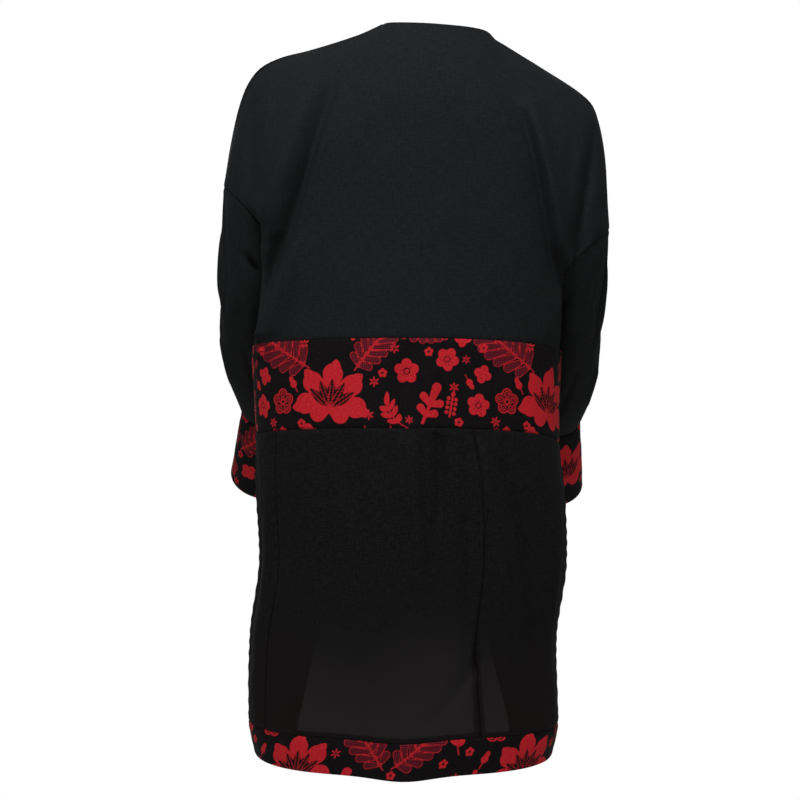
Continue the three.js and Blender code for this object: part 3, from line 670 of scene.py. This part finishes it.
def node(tree, kind, inputs=None, **settings):
    """Adds a node, sets its settings, and sets or links its inputs by name or number. A node
    given for an input stands for its first output."""
    made = tree.nodes.new("ShaderNode" + kind)
    for name, value in settings.items():
        setattr(made, name, value)
    for key, value in (inputs or {}).items():
        if isinstance(value, bpy.types.Node):
            value = value.outputs[0]
        if isinstance(value, bpy.types.NodeSocket):
            tree.links.new(value, made.inputs[key])
        else:
            made.inputs[key].default_value = value
    return made


def new_material(name):
    """A material with no nodes, and its node tree."""
    material = bpy.data.materials.new(name)
    material.use_nodes = True
    material.node_tree.nodes.clear()
    return material, material.node_tree


def crepe(name, dark, light, see_through):
    """Polyester crepe: hard-twisted yarn in a plain weave, dyed black and left unpressed.

    Its twist gives a matt, faintly pebbled face with slubs both ways and a cool bloom at a
    low angle. The real yarn is 0.35 mm apart; it is drawn 1.5 mm apart, so that it shows.
    see_through is the share of light that one layer lets past, where the black yarn looks
    brown; where two lie together, none gets past. A layer has two faces, and each lets the
    square root of the share past. The bed of a seam's groove is darkened to nearly black
    with painted shade."""
    material, tree = new_material(name)
    place = node(tree, "UVMap", uv_map="cloth")
    ways = [node(tree, "Mapping", {"Vector": place, "Scale": scale})
            for scale in ((0.66, 0.10, 1), (0.09, 0.66, 1))]
    warp, weft = (node(tree, "TexNoise", {"Vector": way, "Scale": 1.0, "Detail": 2.0,
                       "Roughness": 0.6}, noise_dimensions="2D") for way in ways)
    slubs = node(tree, "Math", {0: warp, 1: weft}, operation="MULTIPLY")
    pebble = node(tree, "TexNoise", {"Vector": place, "Scale": 0.5, "Detail": 2.0},
                  noise_dimensions="2D")
    grain = node(tree, "Math", {0: slubs, 1: pebble}, operation="MULTIPLY")
    shade = node(tree, "MapRange", {"Value": grain, "From Min": 0.06, "From Max": 0.22})
    colour = node(tree, "Mix", {"Factor": shade, 6: linear(dark), 7: linear(light)},
                  data_type="RGBA").outputs[2]
    bump = node(tree, "Bump", {"Height": grain, "Strength": 0.4, "Distance": 0.0007})
    skin = node(tree, "BsdfPrincipled", {
        "Roughness": 0.85, "Specular IOR Level": 0.06, "Sheen Weight": 0.01,
        "Sheen Roughness": 0.55, "Sheen Tint": linear("#cfd6e2"), "Normal": bump})
    if see_through:
        double, closed = (node(tree, "Attribute", attribute_name=field).outputs["Fac"]
                          for field in ("double", "closed"))
        layers = node(tree, "Math", {0: double, 1: closed}, operation="MAXIMUM")
        cover = node(tree, "MapRange", {"Value": layers, "To Min": 1 - see_through ** 0.5,
                     "To Max": 1.0})
        colour = node(tree, "Mix", {"Factor": closed, 6: linear("#151111"), 7: colour},
                      data_type="RGBA").outputs[2]
        tree.links.new(cover.outputs[0], skin.inputs["Alpha"])
    # Painted shade: along the bed of each seam's groove the colour is mixed toward near black.
    seam_shade = node(tree, "Attribute", attribute_name="seam_shade").outputs["Fac"]
    shaded = node(tree, "Mix", {"Factor": seam_shade, 6: colour, 7: linear("#030303")},
                  data_type="RGBA")
    tree.links.new(shaded.outputs[2], skin.inputs["Base Color"])
    node(tree, "OutputMaterial", {"Surface": skin})
    return material


CREPE = {"materials": [crepe("matt black polyester crepe", "#151617", "#1d1e1f", 0)],
         "wall": 0.9, "slot": "crepe"}
SEWN = {"top": "seam", "bottom": "seam", "first": "seam", "last": "seam"}
FRONT_EDGE = {"left": "last", "right": "first"}

sew("back_panel", "bodice_back", split_edges(back_grid()), {**SEWN, "top": "hem"}, **CREPE,
    flat=(0.66, 0.42), area=0.19, held="draped", uneven=1.0, seed=3, grain=(-1, 80))
for side in SIGN:
    sew(f"{side}_front_panel", f"bodice_front_{side}", split_edges(front_grid(side)),
        {**SEWN, FRONT_EDGE[side]: "hem"}, **CREPE, flat=(0.31, 0.44), area=0.085,
        held="draped", uneven=1.0, seed=5 + SIGN[side],
        grain=(-1, -1 if side == "left" else 0))

# ==============================
# Sleeves: two straight tubes of the same crepe, set into the dropped armholes and seamed
# under the arm. They keep the bend of a lowered arm, with cloth crumpled in the elbow.
# ==============================

# Creases of a sleeve. Places are the distance round the arm, from its outer side toward
# its back, and the distance down from the armhole.
SLEEVE_CREASES = {
    "left": [
        ((12, 6), (24, 70), (30, 150), -4.5, 6), ((36, 8), (42, 60), (50, 130), 4, 8),
        ((64, 60), (70, 62), (76, 66), -9, 10), ((-30, 30), (-10, 110), (20, 190), -5, 14),
        ((40, 20), (66, 100), (60, 200), 4, 15),
        ((-110, 120), (-70, 108), (-36, 116), -7, 9),
        ((-112, 150), (-72, 140), (-30, 150), -7, 9),
        ((-118, 180), (-76, 172), (-34, 188), -6, 9),
        ((10, 200), (24, 232), (20, 262), 3, 8), ((90, 60), (98, 120), (80, 190), -5, 13),
        ((60, 180), (66, 220), (72, 262), -3, 8), ((-60, 210), (-54, 236), (-58, 264), 3, 8),
        ((-10, 226), (-6, 246), (-8, 268), -2.5, 6),
        ((110, 214), (104, 238), (108, 266), 3, 8), ((0, 60), (6, 100), (2, 150), 2.5, 9),
    ],
    "right": [
        ((14, 8), (20, 60), (34, 140), -4.5, 6), ((34, 6), (44, 60), (46, 120), 4, 8),
        ((-20, 30), (0, 100), (16, 180), -5, 14), ((46, 10), (62, 90), (52, 190), 4, 15),
        ((-106, 112), (-68, 100), (-34, 110), -7, 9),
        ((-108, 142), (-70, 132), (-28, 144), -7, 9),
        ((-114, 170), (-72, 164), (-30, 178), -6, 9),
        ((16, 190), (28, 220), (24, 246), 3, 8), ((84, 50), (92, 110), (76, 180), -5, 13),
        ((56, 170), (62, 206), (68, 246), -3, 8), ((-56, 200), (-50, 224), (-54, 250), 3, 8),
        ((-6, 214), (-2, 234), (-4, 252), -2.5, 6),
        ((106, 204), (100, 226), (104, 250), 3, 8), ((4, 50), (10, 90), (6, 140), 2.5, 9),
    ],
}


def full_turn(count):
    """Angles that cut a full turn into so many equal parts."""
    return np.linspace(0, 2 * np.pi, count + 1)[:-1]


def circle_across(side, middle, way, radius, turn):
    """A circle across the arm: away from the body by the cosine of the turn, and along the
    axis that is across both by its sine, to the front on the left and the back on the right."""
    away = np.array([SIGN[side], 0.0, 0.0]) - way * SIGN[side] * way[..., :1]
    away = away / np.linalg.norm(away, axis=-1, keepdims=True)
    rear = np.cross(away, way)
    rear = rear * np.sign(rear[..., 1:2])
    turn = turn[..., None]
    return middle + radius * (away * np.cos(turn) - SIGN[side] * rear * np.sin(turn))


def sleeve_grid(side):
    """From the armhole seam, blended into the first circle, then round the arm's middle
    line down to the wrist."""
    rows = np.array(SLEEVES[side], float)
    turn = full_turn(112)[None]
    at = np.linspace(0, 1, 73)[:, None]
    keys = np.column_stack([np.arange(len(rows)), rows[:, 3]])
    radius = between(keys, at[:, 0] * (len(rows) - 1))[:, 1][:, None, None]
    middle = curve(rows[:, :3], at)
    way = np.gradient(middle, axis=0)
    way = way / np.linalg.norm(way, axis=-1, keepdims=True)
    tube = circle_across(side, middle, way, radius, turn)
    share = np.linspace(0, 1, 27)[:-1, None, None]
    upper = mix(armhole(side, -SIGN[side] * turn), tube[:1], share)
    return relax(np.concatenate([upper, tube]), rounds=40, closed=True)


sleeve_grids = {side: sleeve_grid(side) for side in SIGN}
for side, grid in sleeve_grids.items():
    creases = []
    for start, bend, end, depth, width in SLEEVE_CREASES[side]:
        places = [(-SIGN[side] * place[0], place[1]) for place in (start, bend, end)]
        creases.append((*places, depth, width))
    sew(f"{side}_sleeve", f"sleeve_{side}", split_edges(grid, axes=(0,)),
        {"top": "seam", "bottom": "seam"}, **CREPE, flat=(0.37, 0.32),
        area=0.085 if side == "left" else 0.072, held="draped", creases=creases, uneven=0.8,
        seed=11 + SIGN[side], closed=True)

# ==============================
# Cuffs: bands of black and red jacquard cotton, about 110 mm deep, sewn round the ends of
# the sleeves and hemmed at the wrist. The flowers are woven in, not printed: where the
# red weft comes to the face it floats a little proud of the black ground.
# ==============================

# The cloth's pattern repeats every 272 mm along the band and every 244 mm across it.
REPEAT = (272.0, 244.0)


def disc(x, y, radius):
    """Distance to a circle: length of (x, y), less the radius."""
    return np.hypot(x, y) - radius


def petal(x, y, length, width):
    """Distance to a pointed petal standing on the origin: where two equal circles overlap."""
    radius = (length**2 + width**2) / (4 * width)
    return np.hypot(np.abs(x) + radius - width / 2, y - length / 2) - radius


def drop(x, y, length, small, large):
    """Distance to a drop that stands on the origin: to a line, less a radius that grows."""
    share = np.clip(y / length, 0, 1)
    return np.hypot(x, y - share * length) - mix(small, large, share)


def bar(x, y, width, length):
    """Distance to an upright bar round the origin, from its half width and half length."""
    return np.maximum(np.abs(x) - width, np.abs(y) - length)


def turned(x, y, degrees):
    """The place (x, y) seen from axes turned by the angle."""
    c, s = math.cos(math.radians(degrees)), math.sin(math.radians(degrees))
    return c * x + s * y, c * y - s * x


def union(*parts):
    """The distance to several shapes together: the least of their distances."""
    return np.minimum.reduce(parts)


def fan(shape, sizes, x, y, angles, out=0):
    """One shape, moved out from the origin and turned to each of the angles."""
    places = (turned(x, y, angle) for angle in angles)
    return union(*(shape(a, b - out, *sizes) for a, b in places))


def pairs(shape, x, y, rows):
    """Shapes that lean out from a stalk in pairs. A row gives the height on the stalk, the
    lean and the shape's sizes."""
    return [shape(*turned(x, y - rise, side * lean), *sizes)
            for rise, lean, *sizes in rows for side in (-1, 1)]


# A motif is drawn about one unit high. Its function takes places in that unit and the
# length of a millimetre in it, and gives three distances: to its bright red, to its hatched
# dark red and to the black lines drawn on it. FAR means that the motif has none.
FAR = 1e3
FOUR, FIVE, SIX, EIGHT = (range(0, 360, 360 // count) for count in (4, 5, 6, 8))


def blossom(x, y, mm):
    """Five broad petals with small points, two low ones, and a fan of beaded stamens."""
    y = y + 0.16
    red = union(fan(drop, (0.37, 0.08, 0.145), x, y, (-99, -50, 0, 50, 99)),
                fan(petal, (0.28, 0.16), x, y, (-103, -46, 4, 46, 103), 0.3),
                fan(drop, (0.24, 0.1, 0.12), x, y, (-138, 138)))
    stamens = (x, y + 0.1, (-52, -26, 0, 26, 52))

    def beads(a, b):
        """Two rows of short dashes, 2.4 mm apart."""
        dashes = np.abs((b + 1.2 * mm) % (2.4 * mm) - 1.2 * mm) - 0.66 * mm
        return np.maximum(np.abs(np.abs(a) - 0.024) - 0.011, dashes)

    return red, FAR, np.maximum(fan(petal, (0.38, 0.12), *stamens, 0.03),
                                -fan(beads, (), *stamens))


def feather(x, y, mm):
    """A broad leaf of slanting lobes in pairs along a stalk, each one hatched and outlined."""
    lobes = pairs(drop, x, y, [(0.125 * step - 0.44, 62 - 5 * step,
                                0.32 * math.sin(0.62 + 0.3 * step), 0.03, 0.062)
                               for step in range(7)])
    lobes.append(drop(x, y - 0.32, 0.12, 0.03, 0.05))
    outline = union(*(np.abs(lobe) for lobe in lobes)) - 0.5 * mm
    return union(outline, bar(x, y + 0.06, 0.8 * mm, 0.5)), union(*lobes), FAR


def lobed_leaf(x, y, mm):
    """Solid round lobes in pairs along a stout stalk."""
    lobes = pairs(drop, x, y, [(-0.3, 58, 0.2, 0.05, 0.09), (-0.06, 58, 0.24, 0.05, 0.09)])
    return union(*lobes, drop(x, y, 0.36, 0.06, 0.11), bar(x, y + 0.22, 0.035, 0.3)), FAR, FAR


def daisy(x, y, mm):
    """Five round petals and a dark ring of dots round the eye."""
    red = union(fan(disc, (0.4,), x, y, FIVE, 0.58), disc(x, y, 0.42))
    return red, FAR, union(np.abs(disc(x, y, 0.22)) - 0.05,
                           fan(disc, (0.055,), x, y, EIGHT, 0.42))


def rosette(x, y, mm):
    """Five round lobes drawn as two outlines, one inside the other, round a beaded disc."""
    lobes = fan(disc, (0.4,), x, y, FIVE, 0.58)
    return union(np.abs(lobes) - 0.055, np.abs(lobes + 0.19) - 0.045,
                 fan(disc, (0.07,), x, y, FIVE, 0.6),
                 np.abs(disc(x, y, 0.2)) - 0.05), FAR, FAR


def frond(x, y, mm):
    """Pairs of solid leaflets along a bent stalk, and one at its tip."""
    x = x + 0.16 * (y**2 * 4 - 0.5)
    leaflets = pairs(petal, x, y, [(-0.3, 48, 0.26, 0.13), (-0.12, 48, 0.32, 0.13),
                                   (0.06, 48, 0.3, 0.13)])
    return union(*leaflets, petal(x, y - 0.16, 0.36, 0.15),
                 bar(x, y + 0.1, 0.02, 0.42)), FAR, FAR


def clover(x, y, mm):
    """Four round lobes, each with a narrow pointed black mark."""
    return (fan(disc, (0.46,), x, y, FOUR, 0.52), FAR,
            fan(petal, (0.42, 0.09), x, y, FOUR, 0.3))


def sprig(x, y, mm):
    """A thin stalk with small seeds on both sides."""
    seeds = [disc(np.abs(x) - 0.17, y - rise, 0.085) for rise in (-0.3, -0.08, 0.14, 0.34)]
    return union(*seeds, disc(x, y - 0.55, 0.1), bar(x, y, 0.045, 0.5)), FAR, FAR


def posy(x, y, mm):
    """A tiny five-petalled flower with an open eye."""
    return fan(disc, (0.36,), x, y, FIVE, 0.56), FAR, disc(x, y, 0.24)


def star(x, y, mm):
    """Six short strokes that all but meet, like an asterisk."""
    return fan(petal, (0.85, 0.3), x, y, SIX, 0.1), FAR, FAR


def bud(x, y, mm):
    """A drop on a short stalk."""
    return union(disc(x, y, 0.5), petal(x, y, 1.15, 0.7), bar(x, y + 0.8, 0.09, 0.5)), FAR, FAR


# The motifs of the repeat: along and across the band, size in mm and turn in degrees.
MOTIFS = {
    blossom: [(58, 42, 84, 6), (196, 178, 80, -6)],
    feather: [(124, 92, 84, -58), (8, 92, 66, 38), (232, 116, 70, 100), (56, 204, 72, 48),
        (120, 206, 72, -40)],
    rosette: [(122, 30, 15, 0), (100, 142, 15, 0), (240, 216, 15, 0)],
    daisy: [(158, 24, 14, 10), (194, 76, 14, 30), (242, 62, 15, 0), (30, 142, 15, 0),
        (88, 234, 14, 0)],
    clover: [(152, 60, 11, 20), (178, 100, 10, 0), (66, 150, 12, 45), (156, 224, 12, 0)],
    lobed_leaf: [(214, 26, 52, 24), (140, 152, 50, 20)],
    frond: [(258, 16, 46, -28), (10, 214, 48, 10)],
    bud: [(106, 50, 9, -30), (168, 50, 8, 150), (250, 182, 9, 20)],
    posy: [(96, 4, 6, 0), (152, 90, 6, 0), (182, 4, 6, 20), (216, 84, 6, 0), (270, 60, 6, 0),
        (72, 112, 6, 0), (48, 126, 6, 0), (164, 140, 6, 0), (84, 170, 6, 0), (26, 180, 6, 0),
        (124, 240, 6, 0), (212, 236, 6, 0), (270, 192, 6, 0)],
    star: [(92, 96, 7, 0), (138, 6, 7, 20), (186, 44, 7, 0), (172, 76, 6, 0), (256, 88, 7, 0),
        (8, 50, 7, 0), (14, 12, 7, 0), (240, 6, 6, 0), (84, 126, 7, 0), (122, 126, 7, 0),
        (8, 162, 7, 0), (268, 132, 6, 0), (20, 238, 7, 0), (184, 232, 7, 0), (262, 238, 7, 0),
        (152, 190, 7, 0)],
    sprig: [(38, 108, 28, -60), (190, 22, 26, 12), (252, 152, 30, -20)],
}


def pattern(along, across):
    """The least distance in mm to any motif at each place of the cloth, kind by kind."""
    fields = [np.full(np.shape(along), 9.0) for _ in range(3)]
    for motif, places in MOTIFS.items():
        for u, v, size, turn in places:
            x = (along - u + REPEAT[0] / 2) % REPEAT[0] - REPEAT[0] / 2
            y = (across - v + REPEAT[1] / 2) % REPEAT[1] - REPEAT[1] / 2
            distances = motif(*turned(x / size, y / size, turn), 1 / size)
            for field, distance in zip(fields, distances):
                np.minimum(field, distance * size, out=field)
    return fields


def jacquard(name, ground, red, leaf, reverse=False):
    """Jacquard cotton: black warp, with a red weft that floats to the face in the pattern.
    ground, red and leaf are each two colours, the black between the figures, their bright
    red and the dots of the leaves on their ground.

    The floats catch the light along ribs; the real ribs are 0.5 mm apart and are drawn
    1.6 mm apart, so that they show. In the leaves the weft shows as fine dots, 2.2 mm
    apart. On the reverse the colours change places and the floats are slack."""
    material, tree = new_material(name)
    place = node(tree, "UVMap", uv_map="cloth")
    distances = [node(tree, "Attribute", attribute_name=field).outputs["Fac"]
                 for field in ("red", "leaf", "ink")]
    in_red, in_leaf, in_ink = (
        node(tree, "MapRange", {"Value": distance, "From Min": 0.35, "From Max": -0.35})
        for distance in distances)
    ribs = node(tree, "Mapping", {"Vector": place, "Scale": (0.3, 0.85, 1)})
    floats = node(tree, "TexNoise", {"Vector": ribs, "Scale": 1.0, "Detail": 3.0,
                  "Roughness": 0.65}, noise_dimensions="2D")
    flecks = node(tree, "TexNoise", {"Vector": place, "Scale": 0.55, "Detail": 2.0,
                  "Roughness": 0.7}, noise_dimensions="2D")
    # The bands of a wave texture lie 2 pi / 20 apart at a scale of 1.
    dot_scale = 2 * math.pi / (20 * 2.2)
    columns, rows = (
        node(tree, "TexWave", {"Vector": place, "Scale": dot_scale, "Distortion": 0.0},
             bands_direction=way).outputs["Fac"] for way in ("X", "Y"))
    dots = node(tree, "Math", {0: columns, 1: rows}, operation="MULTIPLY")

    plain = node(tree, "Math", {0: 1.0, 1: in_ink}, operation="SUBTRACT")
    lit = node(tree, "Math", {0: in_red, 1: plain}, operation="MULTIPLY")
    if reverse:
        lit = node(tree, "Math", {0: 1.0, 1: lit}, operation="SUBTRACT")
    bright, black, dotted = (
        node(tree, "Mix", {
            "Factor": node(tree, "MapRange", {"Value": value, "From Min": low,
                           "From Max": high}),
            6: linear(colours[0]), 7: linear(colours[1])}, data_type="RGBA").outputs[2]
        for value, low, high, colours in (
            (floats, 0.3, 0.7, red), (flecks, 0.56, 0.74, ground), (dots, 0.16, 0.34, leaf)))
    under = node(tree, "Mix", {"Factor": in_leaf, 6: black, 7: dotted},
                 data_type="RGBA").outputs[2]
    colour = node(tree, "Mix", {"Factor": lit, 6: under, 7: bright},
                  data_type="RGBA").outputs[2]
    ribbing = node(tree, "Math", {0: floats, 1: 0.5}, operation="MULTIPLY")
    raised = node(tree, "Math", {0: lit, 1: 0.6, 2: ribbing}, operation="MULTIPLY_ADD")
    bump = node(tree, "Bump", {"Height": raised, "Strength": 0.6, "Distance": 0.0005})
    skin = node(tree, "BsdfPrincipled", {
        "Base Color": colour, "Roughness": 0.75, "Specular IOR Level": 0.06,
        "Sheen Weight": 0.01, "Sheen Roughness": 0.5, "Normal": bump})
    node(tree, "OutputMaterial", {"Surface": skin})
    return material


band = [
    jacquard("jacquard cotton, face", ("#0a0b0d", "#2a1014"), ("#a0161e", "#c6262e"),
             ("#38101a", "#741822")),
    jacquard("jacquard cotton, reverse", ("#141014", "#5a1c22"), ("#7c161d", "#a8262d"),
             ("#1a1014", "#5a161c"), reverse=True),
]


def woven(cloth):
    """The pattern's distances at places on the cloth, as named fields; up is its up."""
    red, leaf, ink = pattern(cloth[..., 0], -cloth[..., 1])
    return {"red": red, "leaf": leaf, "ink": ink}


JACQUARD = {"materials": band, "wall": 1.3, "slot": "patterned_band", "fields": woven}

# The middle of the end of each cuff, with its radius, and where its pattern starts.
CUFF_ENDS = {"left": (203, -216, -503, 50, 102), "right": (-161, -213, -515, 47, 150)}
for side, grid in sleeve_grids.items():
    *end_middle, radius, pattern_start = CUFF_ENDS[side]
    end_middle = np.array(end_middle, float)
    way = end_middle - np.array(SLEEVES[side][-1][:3], float)
    # The sleeve's last row, at the closer places that the pattern needs.
    wrist = np.concatenate([grid[-1], grid[-1, :1]])
    turn = full_turn(208)
    wrist = np.stack([np.interp(turn, np.linspace(0, 2 * np.pi, len(wrist)), part)
                      for part in wrist.T], -1)
    end = circle_across(side, end_middle, way / np.linalg.norm(way), radius, turn)
    cuff = mix(wrist[None], end[None], np.linspace(0, 1, 80)[:, None, None])
    sew(f"{side}_cuff", f"cuff_{side}", cuff, {"top": "seam", "bottom": "hem"}, **JACQUARD,
        flat=(0.31, 0.12), area=0.031, held="hung", uneven=1.2, seed=21 + SIGN[side],
        start=(pattern_start, -226), closed=True)

# ==============================
# Waistband: a straight inset of the same jacquard, about 110 mm deep, in a back and two
# fronts. It is sewn between the bodice and the skirt, and its front ends are turned in.
# ==============================


def even_angles(start, end, down, count):
    """Angles that cut a ring between two angles into equal lengths."""
    line = body_point(np.linspace(start, end, FINE), down)
    return mix(start, end, even_shares(line, count))


def back_strip(angles, top, bottom, rows):
    """A strip of the body's back between two distances down it."""
    return body_point(angles[None], np.linspace(top, bottom, rows + 1)[:, None])


def front_strip(side, top, bottom, columns, rows):
    """A strip of a front between two distances down it, its rows running as in front_grid."""
    middle = (top + bottom) / 2
    angles = front_angle(side, np.linspace(0, 1, FINE), np.full(FINE, middle))
    even = even_shares(body_point(angles, middle), columns)
    down = np.linspace(top, bottom, rows + 1)[:, None]
    grid = body_point(front_angle(side, even[None], down), down)
    return grid if side == "left" else grid[:, ::-1]


sew("waistband_back_piece", "waistband_back",
    back_strip(even_angles(-90, 90, down=51, count=350), WAIST_SEAM, SKIRT_SEAM, rows=76),
    SEWN, **JACQUARD, flat=(0.49, 0.11), area=0.052, held="stretched", uneven=0.7, seed=31,
    start=(0, -100))
for side in SIGN:
    sew(f"waistband_{side}_front_piece", f"waistband_front_{side}",
        front_strip(side, WAIST_SEAM, SKIRT_SEAM, columns=180, rows=76),
        {**SEWN, FRONT_EDGE[side]: "hem"}, **JACQUARD, flat=(0.21, 0.11), area=0.022,
        held="stretched", uneven=0.7, seed=33 + SIGN[side],
        start=(490 if side == "left" else -250, -100))

# ==============================
# Skirt: three back panels and two fronts of a thinner, semi-sheer black crepe. They hang
# from the waistband and are seamed down both sides of the back and at the sides; each
# front edge is turned in and stitched down.
# ==============================


def closeness(cloth):
    """The skirt looks closed over the hips and turns sheer from 140 to 340 mm down it."""
    return {"closed": 1 - smooth(cloth[..., 1] + 14 * np.sin(cloth[..., 0] / 31), 140, 340)}


SHEER = {"materials": [crepe("semi-sheer black crepe", "#0c0c0d", "#181819", 0.0065)],
         "wall": 0.8, "slot": "sheer_crepe", "held": "hung", "fields": closeness}
SEAM_ANGLES = {"right": -22.5, "left": 56.5}
for name, start, end, columns, flat, area in (
        ("right", -90, SEAM_ANGLES["right"], 56, (0.18, 0.36), 0.062),
        ("centre", SEAM_ANGLES["right"], SEAM_ANGLES["left"], 84, (0.27, 0.36), 0.092),
        ("left", SEAM_ANGLES["left"], 90, 36, (0.08, 0.37), 0.029)):
    angles = even_angles(start, end, down=280, count=columns)
    sew(f"skirt_back_{name}_panel", f"skirt_back_{name}",
        split_edges(back_strip(angles, SKIRT_SEAM, HEM_SEAM, rows=128)), SEWN, **SHEER,
        flat=flat, area=area, uneven=0.9, pucker=0.8, pinch=1.2, seed=41 + columns)
for side in SIGN:
    sew(f"skirt_{side}_front_panel", f"skirt_front_{side}",
        split_edges(front_strip(side, SKIRT_SEAM, HEM_SEAM, columns=66, rows=128)),
        {**SEWN, FRONT_EDGE[side]: "hem"}, **SHEER, flat=(0.2, 0.36), area=0.055, uneven=1.1,
        seed=51 + SIGN[side])

# ==============================
# Hem bands: a narrow border of the jacquard, about 44 mm deep, in a back and two fronts,
# sewn to the skirt along its top edge and turned up along its bottom edge.
# ==============================
HEMMED = {**SEWN, "bottom": "hem"}
sew("hem_back_piece", "hem_band_back",
    back_strip(even_angles(-90, 90, down=483, count=350), HEM_SEAM, HEM, rows=34), HEMMED,
    **JACQUARD, flat=(0.50, 0.05), area=0.023, held="hung", uneven=0.8, seed=61,
    start=(96, -206))
for side in SIGN:
    sew(f"hem_{side}_front_piece", f"hem_band_front_{side}",
        front_strip(side, HEM_SEAM, HEM, columns=110, rows=34),
        {**HEMMED, FRONT_EDGE[side]: "hem"}, **JACQUARD, flat=(0.11, 0.05), area=0.0045,
        held="hung", uneven=0.8, seed=63 + SIGN[side],
        start=(600 if side == "left" else 300, -206))

# ==============================
# Studio: a plain pale floor under a pale sky, with one soft lamp above and behind the
# garment and one before it. The camera looks square at the back, level with its middle.
# ==============================
scene = bpy.context.scene
scene.view_settings.view_transform = "Standard"

floor_material = bpy.data.materials.new("matt pale floor paint")
floor_material.use_nodes = True
tree = floor_material.node_tree
paint = tree.nodes["Principled BSDF"]
paint.inputs["Base Color"].default_value = linear("#f4f4f4")
paint.inputs["Roughness"].default_value = 0.9
ground = node(tree, "TexCoord").outputs["Object"]
grain = node(tree, "TexNoise", {"Vector": ground, "Scale": 60.0, "Detail": 3.0})
dimple = node(tree, "Bump", {"Height": grain, "Strength": 0.05, "Distance": 0.001})
tree.links.new(dimple.outputs[0], paint.inputs["Normal"])
# The garment hangs as high as when it is worn, its hem 0.55 m above the floor.
FLOOR_RADIUS, FLOOR_SIDES, CLEAR_HEIGHT = 2.2, 96, 0.55
turn = full_turn(FLOOR_SIDES)
rim = np.stack([FLOOR_RADIUS * np.cos(turn), FLOOR_RADIUS * np.sin(turn),
                np.full(FLOOR_SIDES, cad_box[0][2] - CLEAR_HEIGHT)], -1)
floor_mesh = bpy.data.meshes.new("floor")
floor_mesh.from_pydata(rim.tolist(), [], [list(range(FLOOR_SIDES))])
floor_mesh.materials.append(floor_material)
floor = bpy.data.objects.new("floor", floor_mesh)
scene.collection.objects.link(floor)

world = bpy.data.worlds.new("pale sky")
world.use_nodes = True
tree = world.node_tree
tree.nodes.clear()
# The sky gives little light but looks white itself.
glow, white = (node(tree, "Background", {"Color": linear("#ffffff"), "Strength": strength})
               for strength in (0.25, 1.0))
seen = node(tree, "LightPath").outputs["Is Camera Ray"]
sky = node(tree, "MixShader", {0: seen, 1: glow, 2: white})
node(tree, "OutputWorld", {"Surface": sky})
scene.world = world

middle = (np.array(cad_box[0]) + np.array(cad_box[1])) / 2


def lamp(name, offset, size, power):
    """A soft square lamp that looks at the garment's middle from an offset in metres."""
    light = bpy.data.lights.new(name, "AREA")
    light.size, light.energy = size, power
    held = bpy.data.objects.new(name, light)
    held.location = middle + offset
    x, y, z = np.array(offset) / np.linalg.norm(offset)
    held.rotation_euler = (math.acos(z), 0, math.atan2(x, -y))
    scene.collection.objects.link(held)


lamp("key, above and behind", (0.2, 1.45, 1.75), 0.7, 45)
lamp("front", (0.1, -1.9, 0.6), 1.4, 30)

CAMERA_PLACE = (0.031, 2.3, -0.406)
camera_data = bpy.data.cameras.new("camera")
camera_data.lens = 86.25
camera = bpy.data.objects.new("camera", camera_data)
camera.location = CAMERA_PLACE
camera.rotation_euler = (math.radians(90), 0, math.radians(180))
scene.collection.objects.link(camera)
scene.camera = camera
